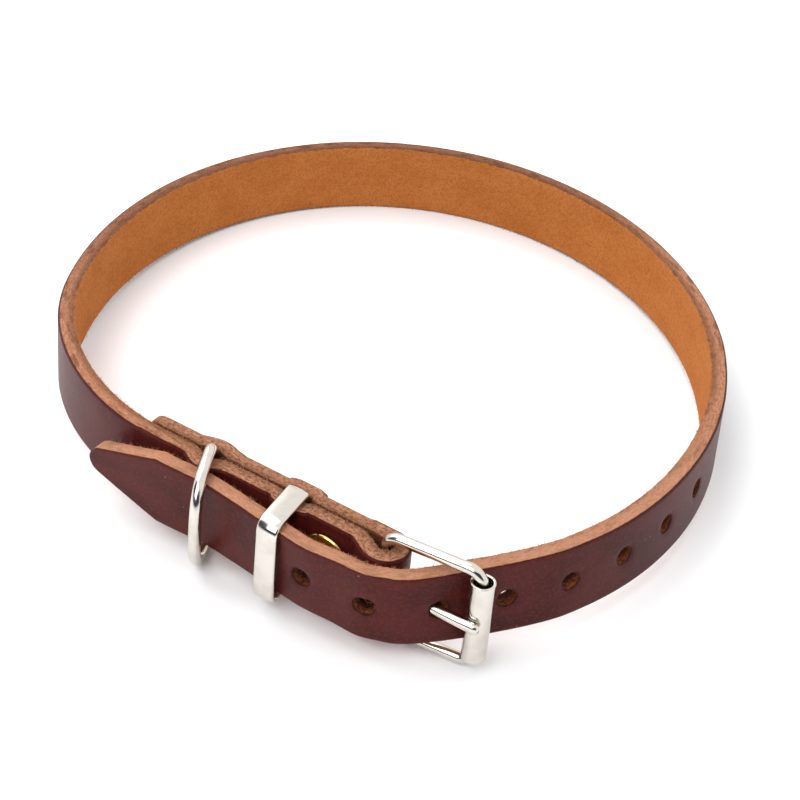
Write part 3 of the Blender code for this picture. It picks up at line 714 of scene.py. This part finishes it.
def strapStations(holes):
    # distances along the strap: even cells round each hole, longer ones between
    cell, reach = leatherMesh["cell"], leatherMesh["blockCells"]
    fixed = [[middle + k * cell for k in range(-reach, reach + 1)] for middle, *_ in holes]
    slotStart, slotEnd = slotSpan()
    slotStart, slotEnd = slotStart - 2 * mm, slotEnd + 2 * mm
    fixed.append(list(np.linspace(slotStart, slotEnd, round((slotEnd - slotStart) / cell))))
    fixed.append(list(np.linspace(strapLength - strapSizes["point"], strapLength - 2.2 * mm, 28)))
    nose = strapSizes["nose"]
    fixed.append([strapLength - nose * (1 - math.sin(a)) for a in np.linspace(0.45, math.pi / 2, 14)])
    corner = strapSizes["turnBackCorner"]
    fixed.append([corner * (1 - math.cos(a)) for a in np.linspace(0.0, math.pi / 2, 9)])
    fixed.sort(key=lambda group: group[0])
    stations = list(fixed[0])
    for group in fixed[1:]:
        gap = group[0] - stations[-1]
        if gap > 0:
            count = max(round(gap / leatherMesh["longCell"]), 1)
            stations += list(np.linspace(stations[-1], group[0], count + 1)[1:-1])
        stations += [value for value in group if value > stations[-1] + 0.12 * mm]
    return np.array(stations)


def slotSpan():
    start = strapSizes["turnBack"] - strapSizes["slotReach"]
    return start, route.nearest(flapPoint(strapSizes["slotReach"], plyOffset), strapSizes["turnBack"])


def sectionRows():
    # the strap's section: (across, through, side), with side 1 for grain, 0 for edge, -1 for flesh
    cell, half = leatherMesh["cell"], midHeight
    across = [-half + k * cell for k in range(1, round(2 * half / cell))]
    turns = leatherMesh["edgeRows"]
    grain, flesh = leatherMesh["grainRound"], leatherMesh["fleshRound"]
    edge = rounded(half - grain, halfThick - grain, grain, (75, 50, 25, 0))
    for step in range(1, turns):
        edge.append((half, halfThick - grain - (2 * halfThick - grain - flesh) * step / turns))
    edge += rounded(half - flesh, -halfThick + flesh, flesh, (0, -35, -70))
    rows = [(value, halfThick, 1) for value in across]
    rows += [(value, through, 0) for value, through in edge]
    rows += [(value, -halfThick, -1) for value in reversed(across)]
    rows += [(-value, through, 0) for value, through in reversed(edge)]
    return rows


def bendStrap(flat):
    # flat (along, across, through) points on to the route, with pinch and lean
    along, across, through = flat[:, 0], flat[:, 1], flat[:, 2].copy()
    cap = rivetSizes["cap"] / 2 + clearance
    reach = keeperSizes["seatReach"]
    squeeze = np.zeros(len(along))
    for middle in rivetDistances:
        share = np.clip((np.abs(along - middle) - cap) / reach, 0, 1)
        squeeze = np.maximum(squeeze, 0.5 * (1 + np.cos(math.pi * share)))
    through = np.where(through > 0, through - strapSizes["pinch"] * squeeze * through / halfThick, through)
    through = through + across * leanSlope(along, rollerPlace)
    inRange = np.clip(along, 0.0, route.length)
    plan = route.point(inRange) + through[:, None] * route.normal(inRange)
    return moved(np.column_stack([plan, midHeight + across]), rest)


def openHole(flat, drop, stations, sides, gridAcross, hole):
    # leave out a block of cells and spread the rings round it from round to square
    place, cells, radius, grainShift, fleshShift = hole
    inner, block = cells * leatherMesh["cell"], leatherMesh["blockCells"] * leatherMesh["cell"]
    for i in np.nonzero(np.abs(stations - place) <= block + nearly)[0]:
        for k in np.nonzero(sides)[0]:
            x, y = stations[i] - place, gridAcross[k]
            size = max(abs(x), abs(y))
            if size > block:
                continue
            if size < inner - nearly:
                drop[i, k] = True
                continue
            share = (size - inner) / (block - inner)
            ease = share * share * (3 - 2 * share)
            onGrain = sides[k] > 0
            uneven = 0.05 * noise.noise(Vector((x / size, y / size, place / block)) * 2.5)
            square = np.array([x, y])
            onCircle = square / math.hypot(x, y) * radius * ((1.0 if onGrain else 0.84) + uneven)
            spread = onCircle + (square * block / size - onCircle) * share
            mixed = spread * (1 - ease) + square * ease
            flat[i, k, 0] = place + mixed[0] + (grainShift if onGrain else fleshShift) * (1 - ease)
            flat[i, k, 1] = mixed[1]
            fromRim = max(np.linalg.norm(mixed) - radius, 0.0)
            dish = leatherMesh["holeDish"] * math.exp(-fromRim / (0.45 * mm))
            flat[i, k, 2] -= dish if onGrain else -0.3 * dish


def roughen(points):
    # raw edges and the flesh side are uneven
    rng = np.random.default_rng(leatherMesh["seed"])
    coarse = wobble(points, 1.3 * mm, 3.0)
    fineWave = wobble(points, 0.55 * mm, 9.0)
    jitter = rng.normal(0.0, 1.0, len(points))
    through = points[:, 2]
    edgeMask = np.clip((np.abs(points[:, 1]) - (midHeight - 0.2 * mm)) / (0.2 * mm), 0, 1)
    fleshShare = np.clip((0.3 * mm - through) / (2.0 * mm), 0, 1)
    grainSide = through > halfThick - 0.45 * mm
    amount = leatherMesh["edgeRough"] + leatherMesh["fleshRough"] * fleshShare
    rough = edgeMask * np.where(grainSide, 0.25, 1.0) * amount
    outward = rough * (0.6 * coarse + 0.8 * fineWave + 0.16 * jitter)
    points[:, 1] += np.sign(points[:, 1]) * outward
    fleshSide = through < -halfThick + 0.35 * mm
    points[:, 2] += np.where(fleshSide, 0.07 * mm * fineWave + 0.05 * mm * coarse, 0.0)
    gentle = wobble(points * np.array([0.35, 1.0, 1.0]), 5.0 * mm, 21.0)
    points[:, 2] += np.where(grainSide, 0.05 * mm * gentle, 0.0)


def buildStrap():
    holes = strapHoles()
    stations = strapStations(holes)
    rows = sectionRows()
    width, last = len(rows), len(stations) - 1
    sides = np.array([row[2] for row in rows])
    gridAcross = np.array([row[0] for row in rows])
    flat = np.zeros((len(stations), width, 3))
    for i, distance in enumerate(stations):
        limit = max(halfWidthAt(distance), 0.12 * mm)
        for k, (across, through, side) in enumerate(rows):
            flat[i, k] = (distance, across * limit / midHeight, through)
    drop = np.zeros((len(stations), width), bool)
    for hole in holes:
        openHole(flat, drop, stations, sides, gridAcross, hole)
    slotStart, slotEnd = slotSpan()
    slotHalf = leatherMesh["slotCells"] * leatherMesh["cell"]
    inSlot = (stations > slotStart) & (stations < slotEnd)
    drop |= inSlot[:, None] & ((np.abs(gridAcross) < slotHalf - nearly) & (sides != 0))[None, :]
    lie = flat / mm
    lie[:, :, 1] = gridAcross / mm
    points = flat.reshape(-1, 3)
    roughen(points)

    def index(i, k):
        return int(i * width + k % width)

    faces = []
    for i in range(last):
        for k in range(width):
            n = (k + 1) % width
            corners = ((i, n), (i + 1, n), (i + 1, k), (i, k))
            if not any(drop[corner] for corner in corners):
                faces.append(tuple(index(*corner) for corner in corners))
    spans = []
    for middle, cells, *_ in holes:
        nearest = int(np.argmin(np.abs(stations - middle)))
        spans.append((nearest - cells, nearest + cells, cells))
    inside = np.nonzero(inSlot)[0]
    spans.append((inside[0] - 1, inside[-1] + 1, leatherMesh["slotCells"]))
    faces += holeWalls(spans, rows, index)
    faces.append(tuple(index(0, k) for k in range(width)))
    faces.append(tuple(index(last, k) for k in reversed(range(width))))
    bent = bendStrap(points)
    bent[:, 2] = np.maximum(bent[:, 2], leatherMesh["lowest"])  # pressed flat where it stands
    return bent, faces, lie.reshape(-1, 3)


def holeWalls(spans, rows, index):
    # join the grain side's rims to the flesh side's
    cell = leatherMesh["cell"]
    top = {round(row[0] / cell): k for k, row in enumerate(rows) if row[2] == 1}
    bottom = {round(row[0] / cell): k for k, row in enumerate(rows) if row[2] == -1}
    walls = []
    for low, high, wide in spans:
        loop = [(i, -wide) for i in range(low, high)]
        loop += [(high, j) for j in range(-wide, wide)]
        loop += [(i, wide) for i in range(high, low, -1)]
        loop += [(low, j) for j in range(wide, -wide, -1)]
        for (i, j), (m, n) in zip(loop, loop[1:] + loop[:1]):
            walls.append((index(i, top[j]), index(m, top[n]), index(m, bottom[n]), index(i, bottom[j])))
    return walls


strapPoints, strapFaces, strapLie = buildStrap()
strap = addPiece("strapLeather", strapPoints, strapFaces, "collar", leather)
lieOnLeather = strap.data.attributes.new("lie", "FLOAT_VECTOR", "POINT")
lieOnLeather.data.foreach_set("vector", np.asarray(strapLie, np.float32).ravel())
fixNormals(strap, leatherMesh["sharp"])
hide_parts("strap")
print("strap ready:", len(strap.data.polygons), "faces")


# loose fibres along the raw edges and in the holes
def fibreLines(rng):
    # where the fibres start and end, on the flat strap
    flatRoots, flatTips = [], []
    for _ in range(fibreLook["edgeCount"]):
        along = rng.uniform(1.0 * mm, strapLength - 2.0 * mm)
        limit = halfWidthAt(along)
        side = rng.choice((-1, 1, 1))
        through = -halfThick + abs(rng.gauss(0.0, 0.75 * mm))
        if through > 0.9 * mm:
            continue
        nearFlesh = through < -halfThick + 0.5 * mm
        length = fibreLook["length"] * rng.uniform(0.5, 1.5) * (1.25 if nearFlesh else 0.6)
        turn = rng.uniform(-1.2, 1.2)
        down = -rng.uniform(0.1, 0.8) * length if nearFlesh else rng.uniform(-0.3, 0.3) * length
        outer = side * (limit + 0.75 * length * math.cos(turn))
        flatRoots.append((along, side * (limit - 0.08 * mm), through + 0.1 * mm))
        flatTips.append((along + math.sin(turn) * length, outer, through + down))
    radius = strapSizes["hole"] / 2
    for middle, _, holeRadius, grainShift, _ in strapHoles():
        if holeRadius < radius - nearly:  # a rivet fills it
            continue
        for _ in range(fibreLook["wallCount"]):
            angle = rng.uniform(0, 2 * math.pi)
            depth = rng.uniform(-0.9, 0.5) * halfThick
            reach = radius - rng.uniform(0.25, 0.75) * mm
            along = middle + grainShift * depth / halfThick
            swing = angle + rng.uniform(-0.5, 0.5)
            deeper = depth + rng.uniform(-0.3, 0.3) * mm
            flatRoots.append((along + math.cos(angle) * radius, math.sin(angle) * radius, depth))
            flatTips.append((along + math.cos(swing) * reach, math.sin(swing) * reach, deeper))
    return bendStrap(np.array(flatRoots)), bendStrap(np.array(flatTips))


def buildFibres():
    # each fibre is a bent, three-sided spike
    rng = random.Random(fibreLook["seed"])
    roots, tips = fibreLines(rng)
    points, faces = [], []
    for root, end in zip(roots, tips):
        direction = end - root
        sideways = np.cross(direction, [rng.uniform(-1, 1), rng.uniform(-1, 1), rng.uniform(-1, 1)])
        norm = np.linalg.norm(sideways)
        if norm < 1e-12:
            continue
        sideways *= fibreLook["width"] / norm
        other = np.cross(direction, sideways)
        other *= fibreLook["width"] / np.linalg.norm(other)
        bend = (root + end) / 2 + sideways * rng.uniform(-1.5, 1.5)
        start = len(points)
        for spot, wide, deep in ((root, 1.0, 0.8), (bend, 0.7, 0.5)):
            back = spot - sideways * wide / 2
            points += [spot + sideways * wide, back + other * deep, back - other * deep]
        points.append(end)
        for k in range(3):
            n = (k + 1) % 3
            faces.append((start + k, start + n, start + 3 + n, start + 3 + k))
            faces.append((start + 3 + k, start + 3 + n, start + 6))
        faces.append((start, start + 2, start + 1))
    points = np.array(points)
    points[:, 2] = np.maximum(points[:, 2], leatherMesh["lowest"])
    return points, faces


fibrePoints, fibreFaces = buildFibres()
fibres = addPiece("strapFibres", fibrePoints, fibreFaces, "collar", looseFibres)
print("fibres ready:", len(fibreFaces), "faces")


def roundedLoop(left, right, half, leftRadius, rightRadius, steps, straight):
    # a rounded rectangle with extra points on its straight sides
    corners = [
        arcPoints((right - rightRadius, -half + rightRadius), rightRadius, -90, 0, steps),
        arcPoints((right - rightRadius, half - rightRadius), rightRadius, 0, 90, steps),
        arcPoints((left + leftRadius, half - leftRadius), leftRadius, 90, 180, steps),
        arcPoints((left + leftRadius, -half + leftRadius), leftRadius, 180, 270, steps),
    ]
    loop = []
    for corner, following in zip(corners, corners[1:] + corners[:1]):
        loop += corner
        start, end = np.array(corner[-1]), np.array(following[0])
        for share in np.linspace(0, 1, straight + 2)[1:-1]:
            loop.append(tuple(start + (end - start) * share))
    return loop


def buildBuckleFrame():
    half = (buckleSizes["innerWidth"] + buckleSizes["wire"]) / 2
    corner = buckleSizes["corner"]
    loop = roundedLoop(-buckleSizes["reach"], 0.0, half, corner, corner, 10, 10)
    path = [(x, 0.0, z) for x, z in loop]
    points, faces = tube(path, buckleSizes["wire"] / 2, (0.0, 1.0, 0.0))
    matrix = flapMatrix(0.0, buckleSizes["heelOut"], midHeight - buckleSizes["drop"], buckleSizes["yaw"])
    return moved(points, matrix), faces


rollerForm = {
    "lip": 0.16 * mm,
    "sides": 72,
    "seamGap": math.radians(4.0),
    "seamAt": math.radians(-118.0),
    "notchShare": 0.62,
    "notchTurn": 0.62,
    "notchReach": 1.05 * mm,
    "flat": 0.06 * mm,
}


def buildRoller():
    # rolled sheet: a tube with a fine seam, rounded lips at its ends and a worn notch
    outer, wall = buckleSizes["roller"] / 2, buckleSizes["rollerWall"]
    inner, half = outer - wall, buckleSizes["rollerLength"] / 2
    lip, sides, gap = rollerForm["lip"], rollerForm["sides"], rollerForm["seamGap"]
    profile = rounded(outer - lip, half - lip, lip, (0, 30, 60, 90))
    profile += rounded(inner + lip, half - lip, lip, (90, 135, 180))
    heights = np.linspace(half - lip, -half + lip, 75)
    down = [(inner, z) for z in heights[1:-1]]
    lower = [(r, -z) for r, z in reversed(profile)]
    up = [(outer, z) for z in heights[::-1][1:-1]]
    section = profile + down + lower + up
    notchAt = math.pi / 2
    notchZ = buckleSizes["drop"] - buckleSizes["tongueDrop"]
    notchDepth = buckleSizes["notch"] * rollerForm["notchShare"]
    points = []
    for angle in rollerForm["seamAt"] + gap / 2 + np.linspace(0.0, 2 * math.pi - gap, sides):
        turn = math.atan2(math.sin(angle - notchAt), math.cos(angle - notchAt))
        flat = rollerForm["flat"] * math.exp(-(((abs(turn) - math.pi) / 0.3) ** 2))
        dent = notchDepth * math.exp(-((turn / rollerForm["notchTurn"]) ** 4))
        for radius, z in section:
            r = radius - flat - dent * math.exp(-(((z - notchZ) / rollerForm["notchReach"]) ** 4))
            points.append((r * math.cos(angle), r * math.sin(angle), z))
    matrix = flapMatrix(*rollerCentre(), midHeight - buckleSizes["drop"])
    return moved(points, matrix), joinSections(sides, len(section), False)


tongueForm = {
    "tipSteps": 30,
    "tipRound": 1.1 * mm,
    "tipRadius": 0.50,
    "pressed": 4.5 * mm,
    "flatter": 0.16,
    "wider": 0.05,
}


def buildTongue():
    # eye round the heel bar, shaft through the strap, and a worn, flattened tip
    form = tongueForm
    wire = buckleSizes["tongueWire"]
    eye = buckleSizes["wire"] / 2 + clearance + wire / 2
    restAlong, restOut = tongueRest()
    heelOut = buckleSizes["heelOut"]
    path = [(x, y + heelOut) for x, y in arcPoints((0.0, 0.0), eye, -215, 90, 48)]
    middle = np.array([buckleSizes["tongueStraight"] * restAlong, restOut])
    heading = np.array([-1.0, 0.0])
    path += [tuple(p) for p in blendPoints(np.array(path[-1]), heading, middle, heading, 14)]
    end = restAlong - buckleSizes["tongueOverhang"]
    path += [(x, restOut) for x in np.linspace(middle[0], end, 34)]
    count = len(path)
    radii, flats = [], []
    for i, (x, y) in enumerate(path):
        fromEnd = max(x - end, 0.0) if i > count - form["tipSteps"] else 1.0
        full = form["tipRadius"] + (1 - form["tipRadius"]) * math.sqrt(fromEnd / form["tipRound"])
        radii.append(wire / 2 * min(1.0, full))
        pressed = max(0.0, 1 - fromEnd / form["pressed"])
        flats.append((1 - form["flatter"] * pressed, 1 + form["wider"] * pressed))
    points, faces = tube([(x, y, 0.0) for x, y in path], np.array(radii), (0.0, 0.0, 1.0), False, flats)
    matrix = flapMatrix(0.0, 0.0, midHeight - buckleSizes["tongueDrop"])
    return moved(points, matrix), faces


def buildRing():
    half = (ringSizes["innerHeight"] + ringSizes["wire"]) / 2
    corner, arm = ringSizes["wire"], ringSizes["arm"]
    loop = arcPoints((corner, -half + corner), corner, 180, 270, 10)
    reach, power = ringSizes["depth"] - arm, 2 / ringSizes["fullness"]
    loop += [(x, -half) for x in np.linspace(corner, arm, 5)[1:-1]]
    for degrees in np.linspace(-90, 90, 75):
        angle = math.radians(degrees)
        depth = max(math.cos(angle), 0.0) ** power
        height = math.copysign(abs(math.sin(angle)) ** power, angle)
        loop.append((arm + reach * depth, half * height))
    loop += [(x, half) for x in np.linspace(arm, corner, 5)[1:-1]]
    loop += arcPoints((corner, half - corner), corner, 90, 180, 10)
    loop += [(0.0, z) for z in np.linspace(half - corner, -half + corner, 24)[1:-1]]
    loop = evenLoop(np.array(loop), 150)
    path = [(0.0, y, z) for y, z in loop]
    points, faces = tube(path, ringSizes["wire"] / 2, (1.0, 0.0, 0.0))
    matrix = flapMatrix(ringPlace, ringSizes["out"], midHeight - ringSizes["drop"], ringSizes["swing"])
    return moved(points, matrix), faces


def evenLoop(loop, count):
    # the same loop with its points evenly spaced
    closed = np.vstack([loop, loop[:1]])
    distance = distanceAlong(closed)
    return sampled(closed, distance, np.linspace(0.0, distance[-1], count, endpoint=False))


keeperForm = {"ease": 0.5 * mm, "crown": 0.26 * mm}


def keeperFront():
    reach = 0.0
    for side in (-1, 0, 1):
        near = flapPoint(keeperPlace + side * keeperSizes["band"] / 2, 3 * strapSizes["thickness"])
        distance = route.nearest(near, route.length / 2)
        outer = route.point(distance) + halfThick * route.normal(distance)
        lean = midHeight * abs(leanSlope(distance, rollerPlace))
        reach = max(reach, float((outer - heel) @ outAxis) + lean)
    return reach + clearance + keeperSizes["thickness"]


def buildKeeper():
    # a flat band bent to a loop, its face gently crowned and its edges eased
    thick, band, ease = keeperSizes["thickness"], keeperSizes["band"], keeperForm["ease"]
    back, front = -thick / 2, keeperFront()
    half = keeperSizes["innerHeight"] / 2 + thick
    bends = (keeperSizes["backBend"], keeperSizes["frontBend"])
    outline = np.array(roundedLoop(back, front, half, *bends, 14, 24))
    tangent = np.roll(outline, -1, axis=0) - np.roll(outline, 1, axis=0)
    tangent /= np.linalg.norm(tangent, axis=1)[:, None]
    outward = np.column_stack([tangent[:, 1], -tangent[:, 0]])
    section = rounded(band / 2 - ease, -ease, ease, (90, 68, 45, 22, 0))
    section += rounded(band / 2 - ease, -thick + ease, ease, (0, -30, -60, -90))
    rightEdge = list(section)
    section += [(x, -thick) for x in np.linspace(band / 2 - ease, -band / 2 + ease, 9)[1:-1]]
    section += [(-x, y) for x, y in reversed(rightEdge)]
    section += [(x, 0.0) for x in np.linspace(-band / 2 + ease, band / 2 - ease, 15)[1:-1]]
    points = []
    for (x, y), (nx, ny) in zip(outline, outward):
        for lie, depth in section:
            crown = keeperForm["crown"] * (lie / (band / 2)) ** 2 if depth > -thick / 2 else 0.0
            out = x + nx * (depth - crown)
            skew = keeperSizes["skew"] * max(out, 0.0) / front
            points.append((out, y + ny * (depth - crown), lie - skew))
    faces = joinSections(len(outline), len(section), True)
    axes = Matrix(((0, 0, 1, 0), (1, 0, 0, 0), (0, 1, 0, 0), (0, 0, 0, 1)))
    matrix = flapMatrix(keeperPlace, 0.0, midHeight - keeperSizes["drop"]) @ axes
    return moved(points, matrix), faces


def buildRivet(along):
    # domed caps with a rolled rim, spun round the post
    cap, height, rim = rivetSizes["shownCap"] / 2, rivetSizes["capHeight"], rivetSizes["rim"]
    half = []
    for degrees in np.linspace(0, 78, 14):
        angle = math.radians(degrees)
        half.append((cap * math.sin(angle) * 0.985, rivetFace + rim + (height - rim) * math.cos(angle)))
    half += rounded(cap - rim / 2, rivetFace + rim / 2, rim / 2, np.linspace(40, -90, 9))
    half += [(rivetSizes["post"] / 2 + 0.3 * mm, rivetFace), (rivetSizes["post"] / 2, rivetFace - 0.3 * mm)]
    profile = half + [(radius, -z) for radius, z in reversed(half)]
    sides = 64
    points, faces = [], []
    for k in range(sides):
        angle = 2 * math.pi * k / sides
        points += [(radius * math.cos(angle), radius * math.sin(angle), z) for radius, z in profile[1:-1]]
    width = len(profile) - 2
    for k in range(sides):
        n = (k + 1) % sides
        for i in range(width - 1):
            faces.append((k * width + i, k * width + i + 1, n * width + i + 1, n * width + i))
    for end, ring in ((profile[0], 0), (profile[-1], width - 1)):
        points.append((0.0, 0.0, end[1]))
        for k in range(sides):
            n = (k + 1) % sides
            faces.append((len(points) - 1, k * width + ring, n * width + ring))
    matrix = flapMatrix(along, 0.0, midHeight) @ Matrix.Rotation(-math.pi / 2, 4, "X")
    return moved(points, matrix), faces


def addFitting(name, shape, node, body, material):
    piece = addPiece(name, *shape, body, material)
    fixNormals(piece, 50.0)
    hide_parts(node)
    return piece


fittings = (
    ("buckleFrameWire", buildBuckleFrame, "buckle_frame", "collar"),
    ("rollerSheet", buildRoller, "buckle_roller", "collar"),
    ("tongueWire", buildTongue, "buckle_tongue", "collar"),
    ("dRingWire", buildRing, "d_ring", "d_ring"),
    ("keeperBand", buildKeeper, "keeper", "collar"),
)
for name, make, node, body in fittings:
    addFitting(name, make(), node, body, nickel)
for number, along in enumerate(rivetPlaces, start=1):
    piece = addFitting(f"rivetCaps{number}", buildRivet(along), f"rivet_{number}", "collar", brass)
print("fittings ready")


stageLook = {
    "floor": (0.94, 0.945, 0.955),
    "floorShade": 0.985,
    "world": 1.18,
    "observer": (-0.45, -0.89, 0.0),
    "observerDark": (0.045, 0.055, 0.080),  # a dark shape for the metal to mirror
    "key": ((-0.35, 0.30, 0.60), 3.2, 0.80),  # place, power, size
    "fill": ((-0.32, -0.46, 0.52), 3.3, 0.5),
    "lens": 99.0,
    "viewAngle": math.radians(37.4),
    "roll": math.radians(5.9),
    "away": 453.54 * mm,
    "aim": (2.8 * mm, -13.2 * mm, 8.0 * mm),
}


def buildStage():
    bpy.ops.mesh.primitive_plane_add(size=6.0)
    floor = bpy.context.object
    floor.name = "floor"
    finish = Finish("paleFloor", Roughness=0.55)
    speck = finish.noise(finish.place(), 40.0, 2.0)
    shade = tuple(stageLook["floorShade"] * c for c in stageLook["floor"])
    floor.data.materials.append(finish.out(Base_Color=finish.mix(speck, stageLook["floor"], shade)))
    world = bpy.data.worlds.new("studio")
    bpy.context.scene.world = world
    sky = Finish(world, Strength=stageLook["world"])
    direction = sky.node("ShaderNodeTexCoord")
    facing, height = [
        sky.node("ShaderNodeVectorMath", {"operation": "DOT_PRODUCT"}, {0: direction, 1: toward}, 1)
        for toward in (stageLook["observer"], (0.0, 0.0, 1.0))
    ]
    dark = sky.span(facing, 0.20, 0.34) * sky.span(height, 0.05, 0.12) * sky.span(height, 0.76, 0.66)
    sky.out(Color=sky.mix(dark, (1.0, 1.0, 1.0), stageLook["observerDark"]))
    for name in ("key", "fill"):
        spot, power, size = stageLook[name]
        light = bpy.data.lights.new(name + "Light", "AREA")
        light.energy, light.size = power, size
        lamp = addObject(name + "Light", light)
        lamp.location = spot
        lamp.rotation_euler = (-Vector(spot)).to_track_quat("-Z", "Y").to_euler()


def buildCamera():
    # the photograph's own view of the collar
    angle, roll, away = stageLook["viewAngle"], stageLook["roll"], stageLook["away"]
    ahead = Vector((0, math.cos(angle), -math.sin(angle)))
    level, lift = Vector((1, 0, 0)), Vector((0, math.sin(angle), math.cos(angle)))
    right = math.cos(roll) * level + math.sin(roll) * lift
    up = -math.sin(roll) * level + math.cos(roll) * lift
    spot = Vector(stageLook["aim"]) - away * ahead
    axes = Matrix((right, up, -ahead)).transposed().to_4x4()
    camera = bpy.data.cameras.new("camera")
    camera.lens, camera.sensor_width = stageLook["lens"], 36.0
    seen = addObject("camera", camera)
    seen.matrix_world = rest @ Matrix.Translation(spot) @ axes
    bpy.context.scene.camera = seen


buildStage()
buildCamera()
bpy.context.scene.view_settings.view_transform = "Standard"
print("stage ready")
